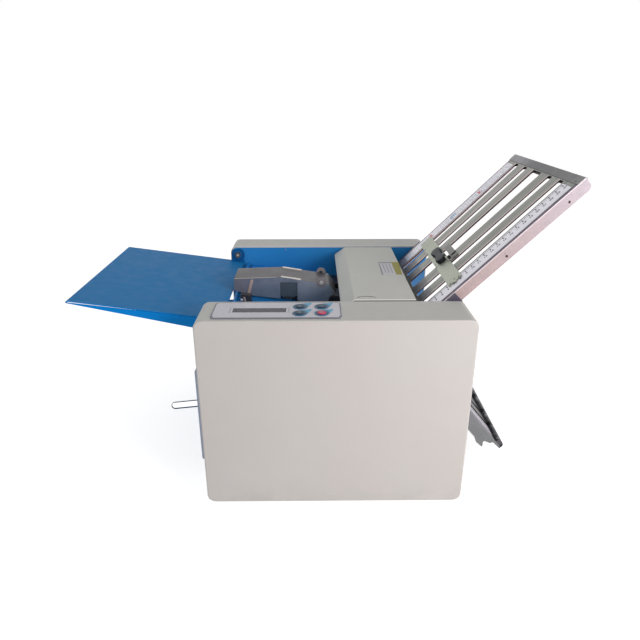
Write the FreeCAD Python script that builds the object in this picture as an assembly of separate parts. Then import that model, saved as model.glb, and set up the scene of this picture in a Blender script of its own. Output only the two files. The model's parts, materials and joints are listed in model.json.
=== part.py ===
import FreeCAD, Part
import math
import os

# Paper folding machine for a desk. Sheets lie on the sloping feed tray, a roller on
# a sheet-metal arm feeds them to four fold rollers, and two slotted fold plates with
# sliding stops set where each fold comes. Lengths are in millimetres.
# X runs from the feed tray to the fold plates, Y from the operator's side to the far
# side, Z up. The parts are drawn from the near bottom corner of the near housing and
# moved at the end, so that the origin is the middle of the whole machine's footprint
# on the surface that it stands on.

Vector = FreeCAD.Vector

# Shared clearances and overruns
overrun = 5.0
running_gap = 0.3
shaft_clearance = 0.05
point_tolerance = 1e-6

# Housings
housing_end_room = 92.5
housing_top = 319.0
near_housing_width = 78.6
inner_width = 331.8
far_housing_width = 64.6
housing_corner = 13.0
housing_wall = 2.0
housing_edge = 2.5

# Feet
foot_height = 2.0
foot_radius = 9.0
foot_end_inset = 40.0
foot_side_inset = 26.0

# Side plates
plate_thickness = 2.0
plate_end_inset = 2.0
plate_top_drop = 2.0
plate_bottom = 6.0
tab_reach = 21.0
tab_bottom = 29.0
tab_top = 202.0
tab_flange = 14.0
tab_corner = 4.0
lever_slot_height = 26.0

# Base pan and tie bars
pan_thickness = 1.5
pan_lip = 14.0
tie_radius = 4.0
tie_front_x = 36.0
tie_front_drop = 38.0
tie_low_front_x = 24.0
tie_low_back_inset = 25.0
tie_low_z = 15.0
tie_mid_reach = 67.5
tie_mid_z = 112.0

# Feed tray
tray_slope = 7.68
tray_left_x = -211.2
tray_left_rise = 1.5
tray_right_x = 28.0
tray_thickness = 1.5
tray_side_gap = 1.0
tray_tip_depth = 4.0
tray_root_depth = 20.0
tray_corner = 3.0
tray_bend = 1.2
tray_pin_x = 15.0
tray_pin_drop = 16.4
tray_pin_radius = 4.0
tray_pin_head_radius = 6.2
tray_pin_head = 2.6
tray_ear_radius = 12.0
tray_stop_x = 8.0
tray_stop_radius = 3.0
tray_stop_length = 5.0

# Feed deck and guides
deck_drop = 5.0
deck_left_x = 42.0
deck_stop_short = 16.0
deck_thickness = 1.5
deck_lip = 12.0
deck_bend = 2.0
pad_length = 26.0
pad_width = 30.0
pad_thickness = 3.0
pad_rise = 0.1
infeed_gap = 3.0
infeed_drop = 4.0
infeed_knee_reach = 26.0
infeed_knee_rise = 0.2
guide_stop_short = 21.5
infeed_right_rise = 11.5
chute_right_drop = 20.0
chute_left_reach = 20.0
chute_left_rise = 13.0
guide_thickness = 1.2

# Sheet sensor
sensor_x = 46.0
sensor_y = 196.0
sensor_length = 18.0
sensor_width = 12.0
sensor_height = 13.0
sensor_wire_radius = 1.3
sensor_wire_run = 30.0
sensor_wire_rise = 20.0

# Feed arm
arm_width = 64.0
arm_thickness = 1.6
arm_tip_x = 32.0
arm_tip_rise = 37.5
arm_peak_reach = 13.5
arm_peak_rise = 40.4
arm_neck_reach = 28.0
arm_neck_rise = 30.2
arm_shoulder_reach = 7.0
arm_shoulder_rise = 28.0
arm_leg_reach = 7.1
arm_leg_rise = 9.0
arm_leg_drop = 9.0
arm_bend = 6.0
arm_tip_drop = 21.0
arm_heel_share = 1.6
arm_wall_lift = 3.2
arm_window_reach = 15.2
arm_window_rise = 31.0
arm_boss_reach = 19.7
arm_boss_rise = 30.5
arm_boss_radius = 8.5
arm_pin_radius = 2.5
arm_pin_head_radius = 3.6
arm_pin_head = 1.4
arm_pin_tail = 1.0
arm_pivot_x = 206.0
arm_pivot_drop = 44.0
arm_pivot_radius = 4.0
arm_lobe_radius = 7.0
arm_trim_reach = 21.5
arm_trim_width = 7.0
arm_trim_thickness = 0.8

# Arm beam behind the arm, under the cover
beam_reach = 21.0
beam_depth = 12.0
beam_drop = 5.0
beam_rise = 20.0
lug_thickness = 3.0
lug_gap = 2.4
lug_radius = 7.0

# Feed roller in the arm
feed_roller_x = 128.5
feed_roller_radius = 17.0
feed_hub_radius = 9.0
feed_roller_width = 44.0
feed_shaft_radius = 3.5
feed_paper_gap = 0.6
cheek_thickness = 2.0
cheek_half_length = 15.0
cheek_corner = 5.0

# Fold rollers
roller_radius = 16.0
roller_gap = 0.3
roller_half_length = 150.0
roller_shaft_radius = 5.0
roller_shaft_proud = 6.0
roller_groove_depth = 0.8
roller_groove_width = 4.0
roller_grooves = 5
roller_reach = 111.5
middle_roller_drop = 63.0
feed_nip_angle = 100.0
first_fold_angle = 0.9
second_fold_angle = -80.0
bush_wall = 3.0
bush_proud = 3.0

# Exit rollers
exit_shaft_x = 22.0
exit_shaft_z = 163.0
exit_wheel_radius = 12.0
exit_wheel_width = 16.0
exit_wheels = 5
exit_wheel_spread = 250.0
exit_nip_angle = 80.0

# Gears, motor and belt
gear_teeth = 16
drive_teeth = 48
pinion_teeth = 12
gear_width = 8.0
gear_plane_gap = 3.0
pinion_angle = -140.0
gear_mesh_gap = 0.1
tooth_share = 0.42
tooth_tip_share = 0.22
tooth_root_share = 0.56
addendum_share = 0.72
dedendum_share = 1.0
motor_radius = 32.0
motor_length = 84.0
motor_cap_radius = 27.0
motor_cap = 9.0
motor_shaft_radius = 4.0
motor_shaft_depth = 24.0
motor_hole_radius = 7.0
pulley_radius = 10.0
pulley_width = 7.0
pulley_flange = 2.5
pulley_flange_width = 1.5
belt_thickness = 1.6
belt_width = 6.0

# Top cover
cover_right_reach = 15.5
cover_ridge_reach = 30.0
cover_top_drop = 1.0
cover_nose_reach = 9.5
cover_nose_drop = 16.0
cover_foot_reach = 13.0
cover_foot_drop = 31.0
cover_thickness = 2.0
cover_bend = 4.0
cover_side_gap = 3.4
cover_cheek_drop = 19.0
cover_cheek_thickness = 2.0
cover_pivot_reach = 7.5
cover_pivot_drop = 11.0
cover_pivot_radius = 3.0
cover_pivot_boss = 7.5

# Control panel
panel_left_x = 23.5
panel_length = 190.0
panel_near_y = 7.0
panel_width = 66.0
panel_thickness = 1.0
panel_corner = 6.0
display_left_x = 53.0
display_length = 79.0
display_near_y = 31.0
display_width = 17.0
display_ledge = 3.0
button_left_x = 152.2
button_pitch_x = 32.2
button_near_y = 26.0
button_pitch_y = 26.8
button_radius = 6.2
button_gap = 0.3
button_rise = 2.2
button_edge = 0.7
button_travel = 1.2
button_stem_length = 9.5
button_collar_radius = 8.0
button_collar = 1.2
ring_radius = 10.5
ring_height = 0.8
ring_tail_x = 17.7
ring_tail_y = 16.5
board_drop = 10.0
board_thickness = 1.6
board_inset = 11.0
board_post_radius = 3.0
board_post_inset = 6.0
switch_radius = 3.0
switch_height = 0.9

# Side lever
lever_pivot_x = 12.0
lever_pivot_z = 139.6
lever_length = 72.0
lever_tilt = 6.0
lever_half_height = 6.2
lever_thickness = 3.0
lever_offset = 3.5
lever_stud_radius = 4.0
lever_head_radius = 6.5
lever_head = 2.0

# Fold plates, shared by both
bracket_width = 6.9
fold_grid_thickness = 0.8
fold_paper_gap = 1.0
back_slot_margin = 3.0
back_slot_sill = 4.0
fold_wide_slot = 32.6
fold_slot = 14.0
fold_slot_inner = 57.5
fold_slot_outer = 103.0
fold_slot_end = 16.0
fold_mouth_end = 14.0
fold_slot_corner = 3.0
rail_thickness = 2.0
rail_lip = 7.0
rail_lip_end = 26.0
rail_hole_radius = 2.5
rail_hole_drop = 11.0
ruler_offset = 116.4
ruler_width = 32.0
ruler_thickness = 1.0
ruler_start = 21.0
spacer_width = 8.0

end_bar_length = 14.0
end_bar_overhang = 1.6
end_bar_skirt = 3.0
end_bar_round_share = 0.9
end_bar_inner_share = 0.45
end_bar_nose_share = 0.6

# Upper fold plate
upper_mouth_reach = 24.839
upper_mouth_rise = 24.356
upper_angle = 44.87
upper_length = 317.0
upper_rail_depth = 17.7
upper_rail_corner = 8.0
upper_lip_start = 16.0
upper_hole_first = 37.6
upper_hole_second = 153.4
upper_bracket_inset = 17.0
upper_bracket_length = 53.0
upper_stop_inset = 81.5
upper_end_bar_height = 1.2

# Lower fold plate
lower_mouth_reach = 30.480
lower_mouth_drop = 31.870
lower_angle = -50.4
lower_length = 233.0
lower_rail_depth = 23.0
lower_rail_toe = 3.0
lower_lip_start = 55.0
hook_along_shares = (2.0, 1.5, 0.84, 1.2, 1.19, 0.76, 0.7)
hook_down_shares = (1.0, 1.16, 1.05, 0.75, 0.62, 0.4, 0.2)
lower_bracket_inset = 28.0
lower_bracket_length = 55.0
lower_stop_inset = 115.0
lower_end_bar_height = 8.0

# Sliding stops
stop_width = 27.0
stop_end_gap = 28.0
stop_thickness = 2.0
stop_lift = 0.3
stop_pointer = 9.0
stop_finger_width = 8.0
stop_finger_length = 3.0
stop_finger_depth = 4.4
clamp_length = 20.0
clamp_half_width = 27.0
clamp_thickness = 2.2
knob_spread = 21.0
knob_lobe_radius = 10.0
knob_waist = 6.5
knob_height = 7.6
knob_lift = 0.6
knob_set_back = 3.5
knob_neck_radius = 7.0
knob_stud_radius = 3.0
fine_block_length = 12.0
fine_block_half_width = 22.0
fine_block_ahead = 31.0
fine_screw_offset = 40.0
fine_lug_width = 9.0
fine_lug_height = 7.6
fine_lug_thickness = 2.4
fine_screw_radius = 1.6
fine_screw_height = 6.3
fine_nut_radius = 3.6
fine_nut_length = 4.6

# Power inlet and switch on the far side
inlet_inset = 58.0
inlet_z = 62.0
inlet_length = 30.0
inlet_height = 24.0
inlet_depth = 18.0
inlet_rim = 3.0
inlet_recess = 12.0
inlet_wall = 3.0
inlet_prong_radius = 1.6
inlet_prong_pitch = 7.0
switch_pitch = 44.0
switch_length = 22.0
switch_opening_height = 30.0
rocker_gap = 0.5
rocker_depth = 9.0
rocker_rise = 2.4

# Heights worked out from the housings' top
middle_roller_z = housing_top - middle_roller_drop
arm_pivot_z = housing_top - arm_pivot_drop
tray_left_z = housing_top + tray_left_rise
tray_pin_z = housing_top - tray_pin_drop
tie_front_z = housing_top - tie_front_drop
cover_top = housing_top - cover_top_drop
cover_nose_z = housing_top - cover_nose_drop
cover_foot_z = housing_top - cover_foot_drop
cover_cheek_bottom = housing_top - cover_cheek_drop
cover_pivot_z = housing_top - cover_pivot_drop
arm_tip_z = arm_pivot_z + arm_tip_rise
arm_peak_z = arm_pivot_z + arm_peak_rise
arm_neck_z = arm_pivot_z + arm_neck_rise
arm_shoulder_z = arm_pivot_z + arm_shoulder_rise
arm_boss_z = arm_pivot_z + arm_boss_rise
arm_leg_z = arm_pivot_z + arm_leg_rise
arm_leg_bottom = arm_pivot_z - arm_leg_drop
arm_window_top = arm_pivot_z + arm_window_rise
beam_bottom = arm_pivot_z - beam_drop
beam_top = arm_pivot_z + beam_rise
infeed_knee_z = middle_roller_z + infeed_knee_rise
infeed_right_z = middle_roller_z + infeed_right_rise
chute_right_z = middle_roller_z - chute_right_drop

# Places along the machine, from the arm's pivot and the middle roller
middle_roller_x = arm_pivot_x + roller_reach
housing_length = middle_roller_x + housing_end_room
arm_neck_x = arm_pivot_x - arm_neck_reach
arm_shoulder_x = arm_pivot_x - arm_shoulder_reach
arm_boss_x = arm_pivot_x - arm_boss_reach
arm_leg_x = arm_pivot_x + arm_leg_reach
deck_right_x = arm_pivot_x - deck_stop_short
beam_left_x = arm_pivot_x + beam_reach
beam_right_x = beam_left_x + beam_depth
infeed_knee_x = arm_pivot_x + infeed_knee_reach
infeed_right_x = middle_roller_x - guide_stop_short
chute_right_x = middle_roller_x - guide_stop_short
chute_left_x = exit_shaft_x + chute_left_reach
chute_left_z = exit_shaft_z + chute_left_rise
cover_nose_x = arm_pivot_x + cover_nose_reach
cover_foot_x = arm_pivot_x + cover_foot_reach
cover_ridge_x = arm_pivot_x + cover_ridge_reach
cover_right_x = middle_roller_x + cover_right_reach
cover_pivot_x = middle_roller_x + cover_pivot_reach
arm_peak_x = feed_roller_x - arm_peak_reach
arm_window_left = feed_roller_x - arm_window_reach
arm_window_right = feed_roller_x + arm_window_reach
arm_trim_start = arm_peak_x
arm_trim_end = feed_roller_x + arm_trim_reach
tie_low_back_x = housing_length - tie_low_back_inset
tie_mid_x = middle_roller_x - tie_mid_reach
inlet_x = housing_length - inlet_inset

# Fold plates, from their mouths at the rollers
upper_end_x = middle_roller_x + upper_mouth_reach + upper_length * math.cos(math.radians(upper_angle))
upper_end_z = middle_roller_z + upper_mouth_rise + upper_length * math.sin(math.radians(upper_angle))
upper_bracket_end = upper_length - upper_bracket_inset
upper_bracket_start = upper_bracket_end - upper_bracket_length
upper_stop_at = upper_length - upper_stop_inset
lower_end_x = middle_roller_x + lower_mouth_reach + lower_length * math.cos(math.radians(lower_angle))
lower_end_z = middle_roller_z - lower_mouth_drop + lower_length * math.sin(math.radians(lower_angle))
lower_bracket_end = lower_length - lower_bracket_inset
lower_bracket_start = lower_bracket_end - lower_bracket_length
lower_stop_at = lower_length - lower_stop_inset

# Places across the machine, and shared sizes
centre_y = near_housing_width + inner_width / 2
far_face = near_housing_width + inner_width
fold_half_width = inner_width / 2 - plate_thickness - bracket_width
stop_half_length = fold_half_width - stop_end_gap
machine_depth = far_face + far_housing_width
near_inner = near_housing_width + plate_thickness
far_inner = far_face - plate_thickness
plate_top = housing_top - plate_top_drop
tray_fall = math.tan(math.radians(tray_slope))
roller_pitch = 2 * roller_radius + roller_gap
gear_y = far_face + gear_plane_gap
drive_y = gear_y + gear_width + gear_plane_gap
belt_y = drive_y + gear_width + gear_plane_gap
shaft_far_end = belt_y + pulley_width
board_top = housing_top - housing_wall - board_drop
stop_bottom = ruler_thickness + stop_lift
stop_top = stop_bottom + stop_thickness
grid_back_bottom = -(2 * fold_grid_thickness + fold_paper_gap)


def polar(x, z, distance, angle):
    turn = math.radians(angle)
    return x + distance * math.cos(turn), z + distance * math.sin(turn)


feed_roller_top_x, feed_roller_top_z = polar(middle_roller_x, middle_roller_z, roller_pitch, feed_nip_angle)
fold_one_x, fold_one_z = polar(middle_roller_x, middle_roller_z, roller_pitch, first_fold_angle)
fold_two_x, fold_two_z = polar(middle_roller_x, middle_roller_z, roller_pitch, second_fold_angle)
exit_pitch = 2 * exit_wheel_radius + roller_gap
exit_top_x, exit_top_z = polar(exit_shaft_x, exit_shaft_z, exit_pitch, exit_nip_angle)
gear_module = roller_pitch / gear_teeth
drive_pitch_radius = gear_module * drive_teeth / 2
pinion_pitch_radius = gear_module * pinion_teeth / 2
pinion_x, pinion_z = polar(fold_two_x, fold_two_z,
                           drive_pitch_radius + pinion_pitch_radius + gear_mesh_gap, pinion_angle)


def tray_height(x):
    return tray_left_z - tray_fall * (x - tray_left_x)


def deck_height(x):
    return tray_height(x) - deck_drop


feed_roller_z = deck_height(feed_roller_x) + (feed_roller_radius + feed_paper_gap) / math.cos(
    math.radians(tray_slope))
tray_stop_z = tray_height(tray_stop_x) - tray_root_depth - running_gap - tray_stop_radius


# Drawing helpers
def block(x0, x1, y0, y1, z0, z1):
    return Part.makeBox(x1 - x0, y1 - y0, z1 - z0, Vector(x0, y0, z0))


def rod(x, z, radius, y0, y1):
    return Part.makeCylinder(radius, y1 - y0, Vector(x, y0, z), Vector(0, 1, 0))


def post(x, y, radius, z0, z1):
    return Part.makeCylinder(radius, z1 - z0, Vector(x, y, z0), Vector(0, 0, 1))


def rounded_face(points, radii):
    count = len(points)
    tangents = []
    for index, corner in enumerate(points):
        radius = radii[index]
        if radius == 0:
            tangents.append((corner, None, corner))
            continue
        back = (points[index - 1] - corner).normalize()
        ahead = (points[(index + 1) % count] - corner).normalize()
        half = back.getAngle(ahead) / 2
        reach = radius / math.tan(half)
        centre = corner + (back + ahead).normalize() * (radius / math.sin(half))
        middle = centre + (corner - centre).normalize() * radius
        tangents.append((corner + back * reach, middle, corner + ahead * reach))
    edges = []
    for index, (start, middle, end) in enumerate(tangents):
        if middle is not None:
            edges.append(Part.Arc(start, middle, end).toShape())
        following = tangents[(index + 1) % count][0]
        if (following - end).Length > point_tolerance:
            edges.append(Part.LineSegment(end, following).toShape())
    return Part.Face(Part.Wire(edges))


def sharp(pairs):
    return [0] * len(pairs)


def prism_y(pairs, radii, y0, y1):
    points = [Vector(x, y0, z) for x, z in pairs]
    return rounded_face(points, radii).extrude(Vector(0, y1 - y0, 0))


def sharp_prism_y(pairs, y0, y1):
    return prism_y(pairs, sharp(pairs), y0, y1)


def prism_z(pairs, radii, z0, z1):
    points = [Vector(x, y, z0) for x, y in pairs]
    return rounded_face(points, radii).extrude(Vector(0, 0, z1 - z0))


def rectangle(a0, a1, b0, b1):
    return [(a0, b0), (a1, b0), (a1, b1), (a0, b1)]


def folded_sheet(pairs, thickness, bend, y0, y1):
    # An open line of bends given as (x, z), thickened to the right of its run
    path = [Vector(x, 0, z) for x, z in pairs]
    shifted = []
    last = len(path) - 1
    turns = []
    for index, place in enumerate(path):
        back = (place - path[index - 1]).normalize() if index > 0 else None
        ahead = (path[index + 1] - place).normalize() if index < last else None
        if back is None:
            back = ahead
        if ahead is None:
            ahead = back
        side_back = Vector(back.z, 0, -back.x)
        side_ahead = Vector(ahead.z, 0, -ahead.x)
        half = (side_back + side_ahead).normalize()
        shifted.append(place + half * (thickness / half.dot(side_back)))
        turns.append(back.x * ahead.z - back.z * ahead.x)
    outer = []
    inner = []
    for index in range(len(path)):
        if index in (0, last):
            outer.append(0)
            inner.append(0)
        elif turns[index] > 0:
            outer.append(bend)
            inner.append(bend + thickness)
        else:
            outer.append(bend + thickness)
            inner.append(bend)
    outline = [(place.x, place.z) for place in path + shifted[::-1]]
    return prism_y(outline, outer + inner[::-1], y0, y1)


def slanted(shape, end_x, end_z, angle):
    # Moves a fold plate's own axes to its slope: first axis down the plate from its
    # free end, second towards the operator, third out of the plate's upper face
    turn = math.radians(angle)
    along = Vector(-math.cos(turn), 0, -math.sin(turn))
    out = Vector(-math.sin(turn), 0, math.cos(turn))
    rotation = FreeCAD.Rotation(along, Vector(0, -1, 0), out, "XYZ")
    moved = shape.copy()
    moved.Placement = FreeCAD.Placement(Vector(end_x, centre_y, end_z), rotation).multiply(moved.Placement)
    return moved


def group(shapes):
    return Part.makeCompound(shapes)


# Housings and frame
def hollow_housing(y_outer, y_inner):
    low = min(y_outer, y_inner)
    high = max(y_outer, y_inner)
    pairs = rectangle(0, housing_length, foot_height, housing_top)
    shell = prism_y(pairs, [housing_corner] * 4, low, high)
    rim = [edge for edge in shell.Edges if abs(edge.BoundBox.YMin - y_outer) < point_tolerance
           and abs(edge.BoundBox.YMax - y_outer) < point_tolerance]
    shell = shell.makeFillet(housing_edge, rim)
    inside = rectangle(housing_wall, housing_length - housing_wall,
                       foot_height + housing_wall, housing_top - housing_wall)
    step = housing_wall if y_outer < y_inner else -housing_wall
    past = overrun if y_outer < y_inner else -overrun
    ends = sorted((y_outer + step, y_inner + past))
    return shell.cut(prism_y(inside, [housing_corner - housing_wall] * 4, ends[0], ends[1]))


def button_places():
    return [(button_left_x + column * button_pitch_x, button_near_y + row * button_pitch_y)
            for row in (0, 1) for column in (0, 1)]


def display_opening(margin, z0, z1):
    return block(display_left_x - margin, display_left_x + display_length + margin,
                 display_near_y - margin, display_near_y + display_width + margin, z0, z1)


def near_housing():
    shell = hollow_housing(0, near_housing_width).fuse(board_posts()).removeSplitter()
    cuts = [display_opening(-display_ledge, board_top, housing_top + overrun)]
    for x, y in button_places():
        cuts.append(post(x, y, button_radius + button_gap, board_top, housing_top + overrun))
    return shell.cut(group(cuts))


def far_housing():
    shell = hollow_housing(machine_depth, far_face)
    openings = [block(inlet_x - inlet_length / 2, inlet_x + inlet_length / 2,
                      machine_depth - overrun, machine_depth + overrun,
                      inlet_z - inlet_height / 2, inlet_z + inlet_height / 2),
                block(inlet_x - switch_pitch - switch_length / 2, inlet_x - switch_pitch + switch_length / 2,
                      machine_depth - overrun, machine_depth + overrun,
                      inlet_z - switch_opening_height / 2, inlet_z + switch_opening_height / 2)]
    return shell.cut(group(openings))


def rubber_feet():
    feet = []
    for x in (foot_end_inset, housing_length - foot_end_inset):
        for y in (foot_side_inset, machine_depth - foot_side_inset):
            feet.append(post(x, y, foot_radius, 0, foot_height))
    return group(feet)


def shaft_places():
    return [(middle_roller_x, middle_roller_z), (feed_roller_top_x, feed_roller_top_z),
            (fold_one_x, fold_one_z), (fold_two_x, fold_two_z),
            (exit_shaft_x, exit_shaft_z), (exit_top_x, exit_top_z)]


def side_plate_outline(y0, y1):
    left = plate_end_inset
    right = housing_length - plate_end_inset
    pairs = [(left, plate_bottom), (right, plate_bottom), (right, plate_top), (left, plate_top),
             (left, tab_top), (-tab_reach, tab_top), (-tab_reach, tab_bottom), (left, tab_bottom)]
    radii = [0, 0, housing_corner, housing_corner, 0, tab_corner, tab_corner, 0]
    plate = prism_y(pairs, radii, y0, y1)
    holes = [rod(x, z, roller_shaft_radius + bush_wall, y0 - overrun, y1 + overrun)
             for x, z in shaft_places()]
    return plate.cut(group(holes))


def near_side_plate():
    plate = side_plate_outline(near_housing_width, near_inner)
    flange = block(-tab_reach, plate_thickness - tab_reach, near_inner - point_tolerance,
                   near_inner + tab_flange, tab_bottom + tab_corner, tab_top - tab_corner)
    slot_z = lever_height_at(-tab_reach)
    slot = block(-tab_reach - overrun, plate_thickness - tab_reach + overrun,
                 near_inner + lever_offset - lever_thickness / 2,
                 near_inner + lever_offset + lever_thickness + lever_thickness / 2,
                 slot_z - lever_slot_height / 2, slot_z + lever_slot_height / 2)
    return plate.fuse(flange.cut(slot)).removeSplitter()


def far_side_plate():
    plate = side_plate_outline(far_inner, far_face)
    return plate.cut(rod(pinion_x, pinion_z, motor_hole_radius, far_inner - overrun, far_face + overrun))


def base_pan():
    left = plate_end_inset + pan_thickness
    right = housing_length - left
    top = plate_bottom + pan_lip
    return folded_sheet([(left, top), (left, plate_bottom), (right, plate_bottom), (right, top)],
                        pan_thickness, pan_thickness, near_inner, far_inner)


def tie_bars():
    places = [(tie_front_x, tie_front_z), (tie_low_front_x, tie_low_z), (tie_low_back_x, tie_low_z),
              (tie_mid_x, tie_mid_z)]
    return group([rod(x, z, tie_radius, near_inner, far_inner) for x, z in places])


# Feed side
def feed_tray():
    near = near_inner + tray_side_gap
    far = far_inner - tray_side_gap
    left = tray_left_x
    right = tray_right_x
    sheet = folded_sheet([(left, tray_height(left) - tray_tip_depth), (left, tray_height(left)),
                          (right, tray_height(right))], tray_thickness, tray_bend,
                         near + tray_thickness / 2, far - tray_thickness / 2)
    parts = [sheet]
    for y0 in (near, far - tray_thickness):
        low = tray_height(left) - tray_tip_depth
        root = tray_height(tray_stop_x) - tray_root_depth
        flange = prism_y([(left + tray_thickness, low),
                          (left + tray_thickness, tray_height(left) - tray_corner),
                          (right, tray_height(right) - tray_thickness / 2),
                          (right, tray_height(right) - tray_thickness * 2),
                          (tray_pin_x + tray_stop_radius, root), (0, root)],
                         [0, 0, 0, 0, tray_corner, tray_corner], y0, y0 + tray_thickness)
        ear_top = tray_height(tray_pin_x) - tray_thickness * 2
        ear = sharp_prism_y(rectangle(tray_pin_x - tray_ear_radius, tray_pin_x + tray_ear_radius,
                                      tray_pin_z, ear_top), y0, y0 + tray_thickness)
        round_end = rod(tray_pin_x, tray_pin_z, tray_ear_radius, y0, y0 + tray_thickness)
        hole = rod(tray_pin_x, tray_pin_z, tray_pin_radius + shaft_clearance,
                   y0 - overrun, y0 + tray_thickness + overrun)
        parts.append(flange.fuse([ear, round_end]).cut(hole))
    return parts[0].fuse(parts[1:])


def tray_pins():
    pins = []
    grip = tray_side_gap + tray_thickness + running_gap
    for face, way in ((near_inner, 1), (far_inner, -1)):
        shank = sorted((face, face + way * grip))
        head = sorted((face + way * grip, face + way * (grip + tray_pin_head)))
        pins.append(rod(tray_pin_x, tray_pin_z, tray_pin_radius, shank[0], shank[1])
                    .fuse(rod(tray_pin_x, tray_pin_z, tray_pin_head_radius, head[0], head[1])))
    return pins


def tray_stops():
    stops = []
    for face, way in ((near_inner, 1), (far_inner, -1)):
        ends = sorted((face, face + way * tray_stop_length))
        stops.append(rod(tray_stop_x, tray_stop_z, tray_stop_radius, ends[0], ends[1]))
    return stops


def pad_outline(margin, top, bottom):
    left = feed_roller_x - pad_length / 2 - margin
    right = feed_roller_x + pad_length / 2 + margin
    pairs = [(left, deck_height(left) + top), (left, deck_height(left) - bottom),
             (right, deck_height(right) - bottom), (right, deck_height(right) + top)]
    return sharp_prism_y(pairs, centre_y - pad_width / 2 - margin, centre_y + pad_width / 2 + margin)


def feed_deck():
    sheet = folded_sheet([(deck_left_x, deck_height(deck_left_x) - deck_lip),
                          (deck_left_x, deck_height(deck_left_x)),
                          (deck_right_x, deck_height(deck_right_x))], deck_thickness, deck_bend,
                         near_inner, far_inner)
    return sheet.cut(pad_outline(0, overrun, overrun))


def separator_pad():
    return pad_outline(0, pad_rise, pad_thickness)


def infeed_guide():
    start = deck_right_x + infeed_gap
    return folded_sheet([(start, deck_height(start) - infeed_drop), (infeed_knee_x, infeed_knee_z),
                         (infeed_right_x, infeed_right_z)], guide_thickness, deck_bend, near_inner, far_inner)


def delivery_chute():
    return folded_sheet([(chute_left_x, chute_left_z), (chute_right_x, chute_right_z)],
                        guide_thickness, deck_bend, near_inner, far_inner)


def sheet_sensor():
    base = deck_height(sensor_x + sensor_length)
    high = deck_height(sensor_x)
    return prism_y([(sensor_x, high), (sensor_x + sensor_length, base),
                    (sensor_x + sensor_length, base + sensor_height), (sensor_x, high + sensor_height)],
                   [0, 0, sensor_wire_radius, sensor_wire_radius], sensor_y - sensor_width, sensor_y)


def sensor_wire():
    start = Vector(sensor_x + sensor_length / 2, sensor_y, deck_height(sensor_x) + sensor_wire_radius)
    reach = start + Vector(0, sensor_wire_run, 0)
    across = Part.makeCylinder(sensor_wire_radius, sensor_wire_run, start, Vector(0, 1, 0))
    upright = Part.makeCylinder(sensor_wire_radius, sensor_wire_rise, reach, Vector(0, 0, 1))
    elbow = Part.makeSphere(sensor_wire_radius, reach)
    return across.fuse([upright, elbow]).removeSplitter()


# Feed arm
def arm_line():
    return [(arm_tip_x, arm_tip_z), (arm_peak_x, arm_peak_z), (arm_neck_x, arm_neck_z),
            (arm_shoulder_x, arm_shoulder_z), (arm_leg_x, arm_leg_z), (arm_leg_x, arm_leg_bottom)]


def arm_wall(y0):
    y1 = y0 + arm_thickness
    under = arm_thickness / 2
    bottom_tip = arm_tip_z - arm_tip_drop
    heel_x = arm_tip_x + arm_tip_drop * arm_heel_share
    pairs = [(arm_tip_x, arm_tip_z - under), (arm_tip_x, bottom_tip),
             (heel_x, deck_height(heel_x) + arm_wall_lift),
             (arm_pivot_x - arm_lobe_radius, deck_height(deck_right_x) + arm_wall_lift),
             (arm_leg_x - under, arm_leg_bottom + under), (arm_leg_x - under, arm_leg_z - under),
             (arm_shoulder_x - under, arm_shoulder_z - under), (arm_neck_x, arm_neck_z - under),
             (arm_peak_x, arm_peak_z - under)]
    wall = sharp_prism_y(pairs, y0, y1)
    window = block(arm_window_left, arm_window_right, y0 - overrun, y1 + overrun,
                   deck_height(arm_window_right), arm_window_top)
    wall = wall.cut(window).fuse(rod(arm_boss_x, arm_boss_z, arm_boss_radius, y0, y1))
    wall = wall.fuse(rod(arm_pivot_x, arm_pivot_z, arm_lobe_radius - shaft_clearance, y0, y1))
    pivot = rod(arm_pivot_x, arm_pivot_z, arm_pivot_radius + shaft_clearance, y0 - overrun, y1 + overrun)
    pin = rod(arm_boss_x, arm_boss_z, arm_pin_radius, y0 - overrun, y1 + overrun)
    return wall.cut(group([pivot, pin]))


def feed_arm():
    near = centre_y - arm_width / 2
    far = centre_y + arm_width / 2
    strip = folded_sheet(arm_line(), arm_thickness, arm_bend, near, far)
    clear = rod(arm_pivot_x, arm_pivot_z, arm_pivot_radius + running_gap, near - overrun, far + overrun)
    sheet = strip.cut(clear).fuse([arm_wall(near), arm_wall(far - arm_thickness)]).removeSplitter()
    return sheet.cut(group(arm_rivets()))


def arm_fittings():
    return group(arm_rivets() + arm_trims())


def arm_rivets():
    rivets = []
    for face, way in ((centre_y - arm_width / 2, 1), (centre_y + arm_width / 2, -1)):
        inner = face + way * (arm_thickness + arm_pin_tail)
        outer = face - way * arm_pin_head
        shank = rod(arm_boss_x, arm_boss_z, arm_pin_radius, min(face, inner), max(face, inner))
        head = rod(arm_boss_x, arm_boss_z, arm_pin_head_radius, min(face, outer), max(face, outer))
        rivets.append(shank.fuse(head).removeSplitter())
    return rivets


def arm_trims():
    slope = (arm_neck_z - arm_peak_z) / (arm_neck_x - arm_peak_x)
    drop = slope * (arm_trim_end - arm_trim_start)
    trims = []
    for y0 in (centre_y - arm_width / 2, centre_y + arm_width / 2 - arm_trim_width):
        start_z = arm_peak_z + slope * (arm_trim_start - arm_peak_x)
        trims.append(sharp_prism_y([(arm_trim_start, start_z), (arm_trim_end, start_z + drop),
                                    (arm_trim_end, start_z + drop + arm_trim_thickness),
                                    (arm_trim_start, start_z + arm_trim_thickness)],
                                   y0, y0 + arm_trim_width))
    return trims


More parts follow.
